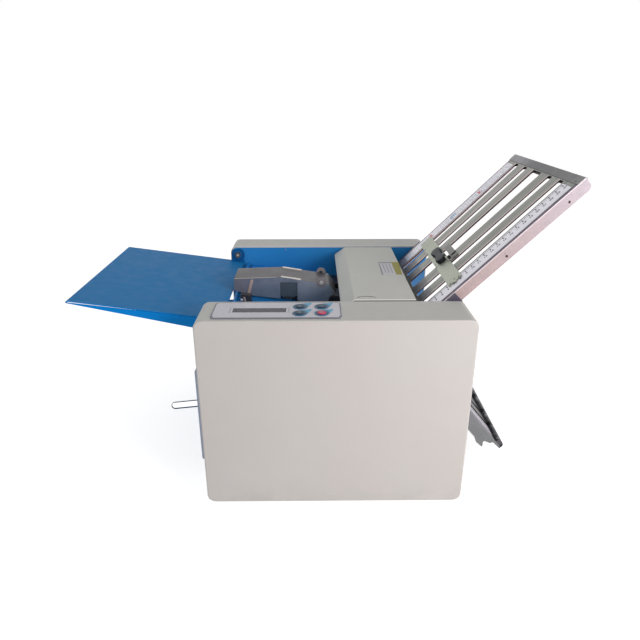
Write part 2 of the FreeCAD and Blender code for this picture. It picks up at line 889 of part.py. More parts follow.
def roller_cheeks():
    inner = arm_thickness + running_gap
    top = arm_peak_z - arm_bend
    cheeks = []
    for y0 in (centre_y - arm_width / 2 + arm_thickness,
               centre_y + arm_width / 2 - arm_thickness - cheek_thickness):
        left = feed_roller_x - cheek_half_length
        right = feed_roller_x + cheek_half_length
        cheek = prism_y([(left, feed_roller_z - feed_hub_radius), (right, feed_roller_z - feed_hub_radius),
                         (right, arm_peak_z + (arm_neck_z - arm_peak_z) * (right - arm_peak_x)
                          / (arm_neck_x - arm_peak_x) - inner), (left, top + arm_bend - inner)],
                        [cheek_corner, cheek_corner, 0, 0], y0, y0 + cheek_thickness)
        bore = rod(feed_roller_x, feed_roller_z, feed_shaft_radius + shaft_clearance,
                   y0 - overrun, y0 + cheek_thickness + overrun)
        cheeks.append(cheek.cut(bore))
    return group(cheeks)


def feed_roller_hub():
    half = arm_width / 2 - arm_thickness - cheek_thickness
    hub = rod(feed_roller_x, feed_roller_z, feed_hub_radius, centre_y - feed_roller_width / 2,
              centre_y + feed_roller_width / 2)
    shaft = rod(feed_roller_x, feed_roller_z, feed_shaft_radius, centre_y - half - cheek_thickness,
                centre_y + half + cheek_thickness)
    return hub.fuse(shaft).removeSplitter()


def feed_roller_tyre():
    y0 = centre_y - feed_roller_width / 2
    y1 = centre_y + feed_roller_width / 2
    tyre = rod(feed_roller_x, feed_roller_z, feed_roller_radius, y0, y1)
    return tyre.cut(rod(feed_roller_x, feed_roller_z, feed_hub_radius, y0 - overrun, y1 + overrun))


def lug_ends():
    near = centre_y - arm_width / 2 - lug_gap
    far = centre_y + arm_width / 2 + lug_gap
    return (near - lug_thickness, near), (far, far + lug_thickness)


def arm_beam():
    beam = block(beam_left_x, beam_right_x, near_inner, far_inner, beam_bottom, beam_top)
    channel = block(beam_left_x + plate_thickness, beam_right_x + overrun, near_inner - overrun,
                    far_inner + overrun, beam_bottom + plate_thickness, beam_top - plate_thickness)
    parts = []
    for y0, y1 in lug_ends():
        arm = block(arm_pivot_x, beam_left_x + point_tolerance, y0, y1, arm_pivot_z - lug_radius / 2,
                    arm_pivot_z + lug_radius)
        parts.append(arm.fuse(rod(arm_pivot_x, arm_pivot_z, lug_radius, y0, y1))
                     .cut(rod(arm_pivot_x, arm_pivot_z, arm_pivot_radius, y0 - overrun, y1 + overrun)))
    return beam.cut(channel).fuse(parts).removeSplitter()


def arm_pivot_shaft():
    ends = lug_ends()
    return rod(arm_pivot_x, arm_pivot_z, arm_pivot_radius, ends[0][0], ends[1][1])


# Fold rollers and drive
def grooved_roller(x, z, far_end):
    y0 = centre_y - roller_half_length
    y1 = centre_y + roller_half_length
    body = rod(x, z, roller_radius, y0, y1)
    spacing = (y1 - y0) / (roller_grooves + 1)
    rings = []
    for index in range(roller_grooves):
        middle = y0 + spacing * (index + 1)
        ring = rod(x, z, roller_radius + overrun, middle - roller_groove_width / 2,
                   middle + roller_groove_width / 2)
        rings.append(ring.cut(rod(x, z, roller_radius - roller_groove_depth,
                                  middle - roller_groove_width, middle + roller_groove_width)))
    body = body.cut(group(rings))
    shaft = rod(x, z, roller_shaft_radius, near_housing_width - roller_shaft_proud, far_end)
    return body.fuse(shaft).removeSplitter()


def roller_bushes():
    bushes = []
    for x, z in shaft_places():
        for y0, y1 in ((near_housing_width, near_inner + bush_proud), (far_inner - bush_proud, far_face)):
            bush = rod(x, z, roller_shaft_radius + bush_wall, y0, y1)
            bore = rod(x, z, roller_shaft_radius + shaft_clearance, y0 - overrun, y1 + overrun)
            bushes.append(bush.cut(bore))
    return group(bushes)


def gear(x, z, teeth, phase, bore, y0):
    pitch_radius = gear_module * teeth / 2
    tip = pitch_radius + gear_module * addendum_share
    root = pitch_radius - gear_module * dedendum_share
    step = 360.0 / teeth
    points = []
    for index in range(teeth):
        middle = phase + index * step
        for radius, share, side in ((root, tooth_root_share, -1), (pitch_radius, tooth_share, -1),
                                    (tip, tooth_tip_share, -1), (tip, tooth_tip_share, 1),
                                    (pitch_radius, tooth_share, 1), (root, tooth_root_share, 1)):
            points.append(polar(x, z, radius, middle + side * share * step / 2))
    wheel = sharp_prism_y(points, y0, y0 + gear_width)
    return wheel.cut(rod(x, z, bore, y0 - overrun, y0 + gear_width + overrun))


def mesh_phase(leader_phase, leader_teeth, angle, teeth):
    # Phase that puts a tooth gap of the driven gear where the leader has a tooth
    leader_step = 360.0 / leader_teeth
    step = 360.0 / teeth
    offset = (leader_phase - angle + leader_step / 2) % leader_step - leader_step / 2
    return angle + 180.0 - offset * leader_teeth / teeth + step / 2


def gear_phases():
    middle = 0.0
    return {"top": mesh_phase(middle, gear_teeth, feed_nip_angle, gear_teeth),
            "first": mesh_phase(middle, gear_teeth, first_fold_angle, gear_teeth),
            "second": mesh_phase(middle, gear_teeth, second_fold_angle, gear_teeth),
            "middle": middle}


def roller_gear(x, z, phase):
    return gear(x, z, gear_teeth, phase, roller_shaft_radius, gear_y)


def drive_gear():
    return gear(fold_two_x, fold_two_z, drive_teeth, 0, roller_shaft_radius, drive_y)


def motor_pinion():
    phase = mesh_phase(0, drive_teeth, pinion_angle, pinion_teeth)
    wheel = gear(pinion_x, pinion_z, pinion_teeth, phase, motor_shaft_radius, drive_y)
    shaft = rod(pinion_x, pinion_z, motor_shaft_radius, far_inner - motor_shaft_depth, drive_y + gear_width)
    return wheel.fuse(shaft).removeSplitter()


def drive_motor():
    body = rod(pinion_x, pinion_z, motor_radius, far_inner - motor_length, far_inner)
    cap = rod(pinion_x, pinion_z, motor_cap_radius, far_inner - motor_length - motor_cap,
              far_inner - motor_length)
    bore = rod(pinion_x, pinion_z, motor_shaft_radius + shaft_clearance,
               far_inner - motor_shaft_depth - running_gap, far_inner + overrun)
    return body.fuse(cap).removeSplitter().cut(bore)


def pulley(x, z):
    wheel = rod(x, z, pulley_radius, belt_y, belt_y + pulley_width)
    flange = rod(x, z, pulley_radius + pulley_flange, belt_y + pulley_width - pulley_flange_width / 2,
                 belt_y + pulley_width + pulley_flange_width / 2)
    bore = rod(x, z, roller_shaft_radius, belt_y - overrun, belt_y + pulley_width + overrun)
    return wheel.fuse(flange).removeSplitter().cut(bore)


def sheet_guides():
    return group([infeed_guide(), delivery_chute()])


def frame_studs():
    return group(tray_pins() + tray_stops() + cover_pins() + [lever_stud(), arm_pivot_shaft()])


def stadium(x0, z0, x1, z1, radius, y0, y1):
    length = math.hypot(x1 - x0, z1 - z0)
    side_x = (z1 - z0) / length * radius
    side_z = (x0 - x1) / length * radius
    body = sharp_prism_y([(x0 + side_x, z0 + side_z), (x1 + side_x, z1 + side_z),
                          (x1 - side_x, z1 - side_z), (x0 - side_x, z0 - side_z)], y0, y1)
    return body.fuse([rod(x0, z0, radius, y0, y1), rod(x1, z1, radius, y0, y1)]).removeSplitter()


def exit_belt():
    inner = pulley_radius + running_gap
    y0 = belt_y
    y1 = belt_y + belt_width
    outer_loop = stadium(exit_shaft_x, exit_shaft_z, fold_two_x, fold_two_z, inner + belt_thickness, y0, y1)
    inner_loop = stadium(exit_shaft_x, exit_shaft_z, fold_two_x, fold_two_z, inner,
                         y0 - overrun, y1 + overrun)
    return outer_loop.cut(inner_loop)


def exit_shaft(x, z, far_end):
    return rod(x, z, roller_shaft_radius, near_housing_width - roller_shaft_proud, far_end)


def exit_roller(x, z, far_end):
    parts = [exit_shaft(x, z, far_end)]
    spacing = exit_wheel_spread / (exit_wheels - 1)
    for index in range(exit_wheels):
        middle = centre_y - exit_wheel_spread / 2 + index * spacing
        wheel = rod(x, z, exit_wheel_radius, middle - exit_wheel_width / 2, middle + exit_wheel_width / 2)
        parts.append(wheel.cut(rod(x, z, roller_shaft_radius, middle - exit_wheel_width,
                                   middle + exit_wheel_width)))
    return parts


# Top cover
def top_cover():
    near = near_inner + cover_side_gap
    far = far_inner - cover_side_gap
    sheet = folded_sheet([(cover_foot_x, cover_foot_z), (cover_nose_x, cover_nose_z),
                          (cover_ridge_x, cover_top), (cover_right_x, cover_top)],
                         cover_thickness, cover_bend, near, far)
    cheeks = []
    inset = cover_thickness / 2
    for y0 in (near, far - cover_cheek_thickness):
        y1 = y0 + cover_cheek_thickness
        cheek = sharp_prism_y([(cover_foot_x + inset, cover_cheek_bottom),
                               (cover_nose_x + inset * 2, cover_nose_z),
                               (cover_ridge_x, cover_top - inset), (cover_right_x, cover_top - inset),
                               (cover_right_x, cover_pivot_z), (cover_pivot_x, cover_cheek_bottom)], y0, y1)
        cheek = cheek.fuse(rod(cover_pivot_x, cover_pivot_z, cover_pivot_boss, y0, y1))
        cheeks.append(cheek.cut(rod(cover_pivot_x, cover_pivot_z, cover_pivot_radius + shaft_clearance,
                                    y0 - overrun, y1 + overrun)))
    return sheet.fuse(cheeks).removeSplitter()


def cover_pins():
    reach = cover_side_gap + cover_cheek_thickness + cover_pivot_radius
    return [rod(cover_pivot_x, cover_pivot_z, cover_pivot_radius, near_inner, near_inner + reach),
            rod(cover_pivot_x, cover_pivot_z, cover_pivot_radius, far_inner - reach, far_inner)]


# Controls
def control_panel():
    panel = prism_z(rectangle(panel_left_x, panel_left_x + panel_length, panel_near_y,
                              panel_near_y + panel_width), [panel_corner] * 4,
                    housing_top, housing_top + panel_thickness)
    cuts = [display_opening(0, housing_top - overrun, housing_top + overrun)]
    for x, y in button_places():
        cuts.append(post(x, y, button_radius + button_gap, housing_top - overrun, housing_top + overrun))
    return panel.cut(group(cuts))


def display_window():
    return display_opening(-shaft_clearance, housing_top, housing_top + panel_thickness)


def display_module():
    return display_opening(-display_ledge / 2, board_top - board_thickness / 2,
                           housing_top - housing_wall - running_gap)


def control_board():
    left = panel_left_x + board_inset
    right = panel_left_x + panel_length - board_inset / 2
    sheet = block(left, right, panel_near_y + board_inset / 2, panel_near_y + panel_width - board_inset / 2,
                  board_top - board_thickness, board_top)
    return sheet.fuse([display_module()] + switch_domes()).removeSplitter()


def board_posts():
    left = panel_left_x + board_inset + board_post_inset
    right = panel_left_x + panel_length - board_inset / 2 - board_post_inset
    near = panel_near_y + board_inset / 2 + board_post_inset
    far = panel_near_y + panel_width - board_inset / 2 - board_post_inset
    return [post(x, y, board_post_radius, board_top, housing_top - housing_wall / 2)
            for x in (left, right) for y in (near, far)]


def switch_domes():
    return [post(x, y, switch_radius, board_top - board_thickness / 2, board_top + switch_height)
            for x, y in button_places()]


def button(x, y):
    top = housing_top + panel_thickness + button_rise
    ceiling = housing_top - housing_wall
    cap = post(x, y, button_radius, top - button_stem_length, top)
    rim = [edge for edge in cap.Edges if edge.BoundBox.ZMin > top - point_tolerance * 2]
    cap = cap.makeFillet(button_edge, rim)
    low = ceiling - running_gap - button_collar
    collar = post(x, y, button_collar_radius, low, ceiling - running_gap)
    return cap.fuse(collar).removeSplitter()


def button_rings():
    rings = []
    z0 = housing_top + panel_thickness
    z1 = z0 + ring_height
    for x, y in button_places():
        length = math.hypot(ring_tail_x, ring_tail_y)
        lean = math.acos(ring_radius / length)
        aim = math.atan2(ring_tail_y, ring_tail_x)
        left = (x + ring_radius * math.cos(aim + lean), y + ring_radius * math.sin(aim + lean))
        right = (x + ring_radius * math.cos(aim - lean), y + ring_radius * math.sin(aim - lean))
        tip = (x + ring_tail_x, y + ring_tail_y)
        tail = prism_z([(x, y), right, tip, left], [0, 0, ring_height, 0], z0, z1)
        disc = post(x, y, ring_radius, z0, z1)
        hole = post(x, y, button_radius + button_gap, z0 - overrun, z1 + overrun)
        rings.append(disc.fuse(tail).removeSplitter().cut(hole))
    return group(rings)


# Side lever
def lever_height_at(x):
    return lever_pivot_z + (x - lever_pivot_x) * math.tan(math.radians(lever_tilt))


def side_lever():
    tip_x, tip_z = polar(lever_pivot_x, lever_pivot_z, lever_length, 180.0 + lever_tilt)
    y0 = near_inner + lever_offset
    blade = stadium(tip_x, tip_z, lever_pivot_x, lever_pivot_z, lever_half_height, y0, y0 + lever_thickness)
    return blade.cut(rod(lever_pivot_x, lever_pivot_z, lever_stud_radius + shaft_clearance,
                         y0 - overrun, y0 + lever_thickness + overrun))


def lever_stud():
    head_y = near_inner + lever_offset + lever_thickness + running_gap
    stud = rod(lever_pivot_x, lever_pivot_z, lever_stud_radius, near_inner, head_y)
    collar = rod(lever_pivot_x, lever_pivot_z, lever_head_radius, near_inner, near_inner + lever_offset
                 - running_gap)
    head = rod(lever_pivot_x, lever_pivot_z, lever_head_radius, head_y, head_y + lever_head)
    return stud.fuse([collar, head]).removeSplitter()


# Fold plates, drawn in the plate's own axes: down the plate, towards the operator, out
def slot_bands():
    bands = [(-fold_wide_slot / 2, fold_wide_slot / 2)]
    for middle in (fold_slot_inner, fold_slot_outer):
        bands.append((middle - fold_slot / 2, middle + fold_slot / 2))
        bands.append((-middle - fold_slot / 2, -middle + fold_slot / 2))
    return bands


def fold_grid(length, w0, margin, sill):
    half = fold_half_width - rail_thickness
    sheet = block(0, length, -half, half, w0, w0 + fold_grid_thickness)
    slots = []
    for v0, v1 in slot_bands():
        outline = rectangle(fold_slot_end + sill, length - fold_mouth_end, v0 - margin, v1 + margin)
        slots.append(prism_z(outline, [fold_slot_corner] * 4, w0 - overrun,
                             w0 + fold_grid_thickness + overrun))
    return sheet.cut(group(slots))


def front_grid(length):
    return fold_grid(length, -fold_grid_thickness, 0, 0)


def back_grid(length):
    return fold_grid(length, grid_back_bottom, back_slot_margin, back_slot_sill)


def grid_spacers(length):
    half = fold_half_width - rail_thickness
    w0 = grid_back_bottom + fold_grid_thickness
    w1 = -fold_grid_thickness
    end = block(0, spacer_width, -half, half, w0, w1)
    sides = [block(spacer_width, length, half - spacer_width, half, w0, w1),
             block(spacer_width, length, -half, spacer_width - half, w0, w1)]
    return end.fuse(sides).removeSplitter()


def rulers(length):
    strips = []
    for v0 in (ruler_offset, -ruler_offset - ruler_width):
        strips.append(block(ruler_start, length - fold_mouth_end, v0, v0 + ruler_width, 0, ruler_thickness))
    return group(strips)


def rail_outline_upper():
    return ([(0, 0), (upper_length, 0), (upper_length, -upper_rail_depth), (0, -upper_rail_depth)],
            [0, 0, 0, upper_rail_corner])


def rail_outline_lower():
    depth = lower_rail_depth
    toe = lower_rail_toe
    hook = [(0, 0), (lower_length, 0), (lower_length, -depth)]
    for along_share, down_share in zip(hook_along_shares, hook_down_shares):
        hook.append((depth * along_share, -depth * down_share))
    hook.append((0, -toe))
    return hook, [0, 0, 0, toe, toe] + [toe / 2] * (len(hook) - 5)


def rail(outline, radii, v0, lip_side, depth, length, lip_start, holes):
    face = rounded_face([Vector(u, v0, w) for u, w in outline], radii)
    web = face.extrude(Vector(0, rail_thickness, 0))
    drills = [Part.makeCylinder(rail_hole_radius, rail_thickness + 2 * overrun,
                                Vector(at, v0 - overrun, -rail_hole_drop), Vector(0, 1, 0)) for at in holes]
    if drills:
        web = web.cut(group(drills))
    if not lip_side:
        return web
    lip_v0 = v0 - rail_lip if lip_side < 0 else v0 + rail_thickness
    lip = block(lip_start, length - rail_lip_end, lip_v0, lip_v0 + rail_lip,
                -depth, fold_grid_thickness - depth)
    return web.fuse(lip).removeSplitter()


def upper_rail(side):
    outline, radii = rail_outline_upper()
    # Only the rail nearest the operator is folded in along its lower edge
    v0 = fold_half_width - rail_thickness if side > 0 else -fold_half_width
    return rail(outline, radii, v0, min(0, -side), upper_rail_depth, upper_length,
                upper_lip_start, (upper_hole_first, upper_hole_second))


def lower_rail(side):
    outline, radii = rail_outline_lower()
    v0 = fold_half_width - rail_thickness if side > 0 else -fold_half_width
    return rail(outline, radii, v0, -side, lower_rail_depth, lower_length, lower_lip_start, ())


def end_bar(height):
    # A bar across the plate's free end, rounded along its outer edges
    half = fold_half_width
    profile = [(-end_bar_overhang, -end_bar_skirt), (0, -end_bar_skirt), (0, 0), (end_bar_length, 0),
               (end_bar_length, height), (-end_bar_overhang, height)]
    radii = [end_bar_overhang * end_bar_round_share, 0, 0, 0, height * end_bar_inner_share,
             (height + end_bar_skirt) * end_bar_nose_share]
    face = rounded_face([Vector(u, -half, w) for u, w in profile], radii)
    return face.extrude(Vector(0, 2 * half, 0))


def rail_brackets(start, end, depth):
    reach = inner_width / 2 - plate_thickness
    return group([block(start, end, fold_half_width, reach, -depth, 0),
                  block(start, end, -reach, -fold_half_width, -depth, 0)])


def stop_bar(at):
    u0 = at - stop_width / 2
    u1 = at + stop_width / 2
    tip = stop_half_length
    outline = [(u0, -tip), (u1, -tip), (u1, tip), (at + stop_pointer / 2, tip),
               (at, tip + stop_pointer / 2), (at - stop_pointer / 2, tip), (u0, tip)]
    bar = prism_z(outline, sharp(outline), stop_bottom, stop_top)
    fingers = []
    for middle in (-fold_slot_outer, -fold_slot_inner, fold_slot_inner, fold_slot_outer):
        fingers.append(block(u1 - stop_finger_length, u1, middle - stop_finger_width / 2,
                             middle + stop_finger_width / 2, -stop_finger_depth, stop_bottom))
    lug = block(u0, u0 + fine_lug_thickness, fine_screw_offset - fine_lug_width / 2,
                fine_screw_offset + fine_lug_width / 2, stop_top, stop_top + fine_lug_height)
    stud_hole = post(at - knob_set_back, 0, knob_stud_radius + shaft_clearance,
                     stop_bottom - overrun, stop_top + overrun)
    screw_start = Vector(u0 - overrun, fine_screw_offset, fine_screw_height)
    screw_hole = Part.makeCylinder(fine_screw_radius + shaft_clearance, stop_width,
                                   screw_start, Vector(1, 0, 0))
    return bar.fuse(fingers + [lug]).removeSplitter().cut(group([stud_hole, screw_hole]))


def stop_clamp(at):
    top = grid_back_bottom - running_gap
    middle = at - knob_set_back
    plate = block(middle - clamp_length / 2, middle + clamp_length / 2, -clamp_half_width, clamp_half_width,
                  top - clamp_thickness, top)
    return plate.cut(post(middle, 0, knob_stud_radius + shaft_clearance, top - clamp_thickness - overrun,
                          top + overrun))


def lock_knob(at):
    base = stop_top + knob_lift
    middle = at - knob_set_back
    lobes = [post(middle, side * knob_spread, knob_lobe_radius, base, base + knob_height)
             for side in (-1, 1)]
    waist = block(middle - knob_waist, middle + knob_waist, -knob_spread, knob_spread, base,
                  base + knob_height)
    neck = post(middle, 0, knob_neck_radius, stop_top + running_gap, base)
    foot = grid_back_bottom - running_gap - clamp_thickness
    stud = post(middle, 0, knob_stud_radius, foot, stop_top + running_gap)
    return waist.fuse(lobes + [neck, stud]).removeSplitter()


def fine_block(at):
    middle = at - fine_block_ahead + fine_block_length / 2
    u0 = middle - fine_block_length / 2
    base = block(u0, u0 + fine_block_length, -fine_block_half_width,
                 fine_screw_offset + fine_lug_width / 2, stop_lift, stop_lift + stop_thickness)
    lug = block(u0 + fine_block_length - fine_lug_thickness, u0 + fine_block_length,
                fine_screw_offset - fine_lug_width / 2, fine_screw_offset + fine_lug_width / 2,
                stop_lift + stop_thickness, stop_top + fine_lug_height)
    hole = Part.makeCylinder(fine_screw_radius + shaft_clearance, fine_block_length + 2 * overrun,
                             Vector(u0 - overrun, fine_screw_offset, fine_screw_height), Vector(1, 0, 0))
    return base.fuse(lug).removeSplitter().cut(hole)


def fine_screw(at):
    start = at - fine_block_ahead
    bar_edge = at - stop_width / 2
    thread = Part.makeCylinder(fine_screw_radius, bar_edge + fine_lug_thickness - start,
                               Vector(start, fine_screw_offset, fine_screw_height), Vector(1, 0, 0))
    nut_start = bar_edge - running_gap - fine_nut_length
    nut = Part.makeCylinder(fine_nut_radius, fine_nut_length,
                            Vector(nut_start, fine_screw_offset, fine_screw_height), Vector(1, 0, 0))
    return thread.fuse(nut).removeSplitter()


def place_upper(shape):
    return slanted(shape, upper_end_x, upper_end_z, upper_angle)


def place_lower(shape):
    return slanted(shape, lower_end_x, lower_end_z, lower_angle)


# Power inlet and mains switch
def power_inlet():
    inner = machine_depth - inlet_depth
    body = block(inlet_x - inlet_length / 2, inlet_x + inlet_length / 2, inner, machine_depth,
                 inlet_z - inlet_height / 2, inlet_z + inlet_height / 2)
    rim = block(inlet_x - inlet_length / 2 - inlet_rim, inlet_x + inlet_length / 2 + inlet_rim,
                machine_depth, machine_depth + inlet_rim / 2,
                inlet_z - inlet_height / 2 - inlet_rim, inlet_z + inlet_height / 2 + inlet_rim)
    recess = block(inlet_x - inlet_length / 2 + inlet_wall, inlet_x + inlet_length / 2 - inlet_wall,
                   machine_depth - inlet_recess, machine_depth + overrun,
                   inlet_z - inlet_height / 2 + inlet_wall, inlet_z + inlet_height / 2 - inlet_wall)
    prongs = [rod(inlet_x + side * inlet_prong_pitch, inlet_z - abs(side) * inlet_wall / 2,
                  inlet_prong_radius, machine_depth - inlet_recess - inlet_wall / 2,
                  machine_depth - inlet_wall) for side in (-1, 0, 1)]
    return body.fuse(rim).removeSplitter().cut(recess).fuse(prongs).removeSplitter()


def switch_frame():
    middle = inlet_x - switch_pitch
    wall = inlet_wall / 2
    body = block(middle - switch_length / 2, middle + switch_length / 2, machine_depth - inlet_depth,
                 machine_depth, inlet_z - switch_opening_height / 2, inlet_z + switch_opening_height / 2)
    rim = block(middle - switch_length / 2 - inlet_rim, middle + switch_length / 2 + inlet_rim,
                machine_depth, machine_depth + inlet_rim / 2,
                inlet_z - switch_opening_height / 2 - inlet_rim,
                inlet_z + switch_opening_height / 2 + inlet_rim)
    well = block(middle - switch_length / 2 + wall, middle + switch_length / 2 - wall,
                 machine_depth - rocker_depth - inlet_wall, machine_depth + overrun,
                 inlet_z - switch_opening_height / 2 + wall, inlet_z + switch_opening_height / 2 - wall)
    return body.fuse(rim).removeSplitter().cut(well)


def rocker_axis_y():
    return machine_depth - rocker_depth / 2


def switch_rocker():
    middle = inlet_x - switch_pitch
    wall = inlet_wall / 2
    half = switch_opening_height / 2 - wall - rocker_gap * 2
    x0 = middle - switch_length / 2 + wall + rocker_gap
    x1 = middle + switch_length / 2 - wall - rocker_gap
    front = machine_depth + inlet_rim / 2 + rocker_rise
    pairs = [(machine_depth - rocker_depth + rocker_rise, 0), (machine_depth - rocker_gap, -half),
             (front, -half), (machine_depth + rocker_gap, 0),
             (front, half), (machine_depth - rocker_gap, half)]
    points = [Vector(x0, y, inlet_z + z) for y, z in pairs]
    return rounded_face(points, [rocker_rise, 0, rocker_gap, 0, rocker_gap, 0]).extrude(Vector(x1 - x0, 0, 0))


def build():
    phases = gear_phases()
    places = button_places()
    names = ["button_plus", "button_stop", "button_start", "button_minus"]
    end = gear_y + gear_width
    pieces = {
        "near_housing": near_housing(),
        "far_housing": far_housing(),
        "rubber_feet": rubber_feet(),
        "near_side_plate": near_side_plate(),
        "far_side_plate": far_side_plate(),
        "base_pan": base_pan(),
        "tie_bars": tie_bars(),
        "frame_studs": frame_studs(),
        "feed_tray": feed_tray(),
        "feed_deck": feed_deck(),
        "separator_pad": separator_pad(),
        "sheet_guides": sheet_guides(),
        "sheet_sensor": sheet_sensor().fuse(sensor_wire()).removeSplitter(),
        "feed_arm": feed_arm(),
        "arm_fittings": arm_fittings(),
        "roller_cheeks": roller_cheeks(),
        "feed_roller_hub": feed_roller_hub(),
        "feed_roller_tyre": feed_roller_tyre(),
        "arm_beam": arm_beam(),
        "roller_bushes": roller_bushes(),
        "fold_roller_top": group([grooved_roller(feed_roller_top_x, feed_roller_top_z, end),
                                  roller_gear(feed_roller_top_x, feed_roller_top_z, phases["top"])]),
        "fold_roller_middle": group([grooved_roller(middle_roller_x, middle_roller_z, end),
                                     roller_gear(middle_roller_x, middle_roller_z, phases["middle"])]),
        "fold_roller_first": group([grooved_roller(fold_one_x, fold_one_z, end),
                                    roller_gear(fold_one_x, fold_one_z, phases["first"])]),
        "fold_roller_second": grooved_roller(fold_two_x, fold_two_z, shaft_far_end),
        "drive_gears": group([roller_gear(fold_two_x, fold_two_z, phases["second"]), drive_gear(),
                              pulley(fold_two_x, fold_two_z)]),
        "motor_pinion": motor_pinion(),
        "drive_motor": drive_motor(),
        "exit_belt": exit_belt(),
        "exit_roller_lower": group(exit_roller(exit_shaft_x, exit_shaft_z, shaft_far_end)
                                   + [pulley(exit_shaft_x, exit_shaft_z)]),
        "exit_roller_upper": group(exit_roller(exit_top_x, exit_top_z, far_face + roller_shaft_proud)),
        "top_cover": top_cover(),
        "control_panel": control_panel(),
        "display_window": display_window(),
        "control_board": control_board(),
        "button_rings": button_rings(),
        "side_lever": side_lever(),
        "power_inlet": group([power_inlet(), switch_frame()]),
        "switch_rocker": switch_rocker(),
    }
    for name, (x, y) in zip(names, places):
        pieces[name] = button(x, y)
    for label, place, length, at in (("upper", place_upper, upper_length, upper_stop_at),
                                     ("lower", place_lower, lower_length, lower_stop_at)):
        make_rail = upper_rail if label == "upper" else lower_rail
        pieces[label + "_front_grid"] = place(front_grid(length))
        pieces[label + "_back_grid"] = place(back_grid(length))
        pieces[label + "_rails"] = place(group([make_rail(1), make_rail(-1)]))
        pieces[label + "_stop_bar"] = place(stop_bar(at))
        pieces[label + "_stop_clamps"] = place(group([stop_clamp(at), fine_block(at)]))
        pieces[label + "_lock_knob"] = place(lock_knob(at))
        pieces[label + "_fine_screw"] = place(fine_screw(at))
    pieces["fold_rulers"] = group([place_upper(rulers(upper_length)), place_lower(rulers(lower_length))])
    pieces["grid_spacers"] = group([place_upper(grid_spacers(upper_length)),
                                    place_lower(grid_spacers(lower_length))])
    pieces["end_bars"] = group([place_upper(end_bar(upper_end_bar_height)),
                                place_lower(end_bar(lower_end_bar_height))])
    pieces["rail_brackets"] = group([
        place_upper(rail_brackets(upper_bracket_start, upper_bracket_end, upper_rail_depth)),
        place_lower(rail_brackets(lower_bracket_start, lower_bracket_end, lower_rail_depth))])
    return pieces


pieces = build()
whole = Part.makeCompound(list(pieces.values())).BoundBox
origin_shift = Vector(-(whole.XMin + whole.XMax) / 2, -(whole.YMin + whole.YMax) / 2, 0)
os.makedirs("parts", exist_ok=True)
for name, shape in pieces.items():
    moved = shape.copy()
    moved.translate(origin_shift)
    moved.exportStep("parts/" + name + ".step")
    print(name, len(moved.Solids), moved.isValid(), round(moved.Volume, 1))
print(len(pieces), "nodes, size", round(whole.XLength, 2), round(whole.YLength, 2), round(whole.ZLength, 2))
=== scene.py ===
# %% [markdown]
# # A paper folding machine, dressed in Blender
# The machine was drawn first as solids in a CAD program: two painted housings, a blue
# frame, a feed tray and arm, fold rollers under a cover and two slotted fold plates.
# This notebook loads those solids, keeps every one where it is, gives each a finish
# made of shader nodes, and adds the small things that solids leave out: scales, knobs,
# screws, threads and printed marks.

# %% Load the machine
import json
import math
import bmesh
import bpy
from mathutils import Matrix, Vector

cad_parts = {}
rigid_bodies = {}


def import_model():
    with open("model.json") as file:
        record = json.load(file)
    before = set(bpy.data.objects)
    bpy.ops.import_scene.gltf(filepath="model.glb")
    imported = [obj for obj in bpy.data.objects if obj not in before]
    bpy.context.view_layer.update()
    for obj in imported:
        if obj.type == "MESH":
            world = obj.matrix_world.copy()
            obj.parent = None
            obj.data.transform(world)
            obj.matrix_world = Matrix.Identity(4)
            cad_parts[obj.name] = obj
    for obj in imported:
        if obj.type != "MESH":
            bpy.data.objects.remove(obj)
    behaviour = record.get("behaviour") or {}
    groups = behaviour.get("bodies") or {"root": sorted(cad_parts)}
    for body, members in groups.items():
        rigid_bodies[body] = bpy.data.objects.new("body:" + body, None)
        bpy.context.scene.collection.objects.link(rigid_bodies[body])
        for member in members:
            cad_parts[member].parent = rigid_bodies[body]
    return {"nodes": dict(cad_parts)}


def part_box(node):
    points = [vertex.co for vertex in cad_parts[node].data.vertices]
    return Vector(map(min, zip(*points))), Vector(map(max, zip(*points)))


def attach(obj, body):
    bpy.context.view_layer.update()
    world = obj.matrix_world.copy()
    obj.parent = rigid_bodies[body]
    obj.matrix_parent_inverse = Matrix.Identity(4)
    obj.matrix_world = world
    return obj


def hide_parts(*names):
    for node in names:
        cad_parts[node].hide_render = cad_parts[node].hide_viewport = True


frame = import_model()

scene = bpy.context.scene
nodes = frame["nodes"]
for spare in [thing for thing in bpy.data.objects if thing.name in ("Cube", "Light", "Camera")]:
    bpy.data.objects.remove(spare)
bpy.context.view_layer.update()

# %% [markdown]
# ## Where things are
# The drawing measures every piece from the near, left, bottom corner of the near
# housing, in millimetres. Blender works in metres from the middle of the footprint.
# Small functions turn the first into the second, so that each number below can be
# checked against the drawing. The pairs are axes that run across the machine, as x and
# z.

# %% Places on the machine
near_low, near_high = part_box("near_housing")
CENTRE_Y = 244.5
NEAR_INNER = 80.6
FAR_INNER = 408.4
COVER_TOP = 318.0
BUTTON_TOP = 322.25
TRAY_PIN = (15.0, 302.6)
ARM_EAR = (186.3, 305.5)
ARM_SHAFT = (206.0, 275.0)
LEVER_PIVOT = (12.0, 139.6)


def at_x(x):
    """A place along the machine, as the scene's x."""
    return near_low.x + x / 1000


def at_y(y):
    """A place across the machine, as the scene's y."""
    return near_low.y + y / 1000


def machine(x, y, z):
    """A point in the drawing's millimetres, as a point in the scene."""
    return Vector((at_x(x), at_y(y), z / 1000))


print("near housing, left to right:", round(near_low.x, 4), round(near_high.x, 4))

# %% [markdown]
# Each fold plate lies on a slope, so its own axes make it much easier to work on: u
# runs down the plate from its free end, v runs across it towards the operator, and w
# stands out of its upper face.

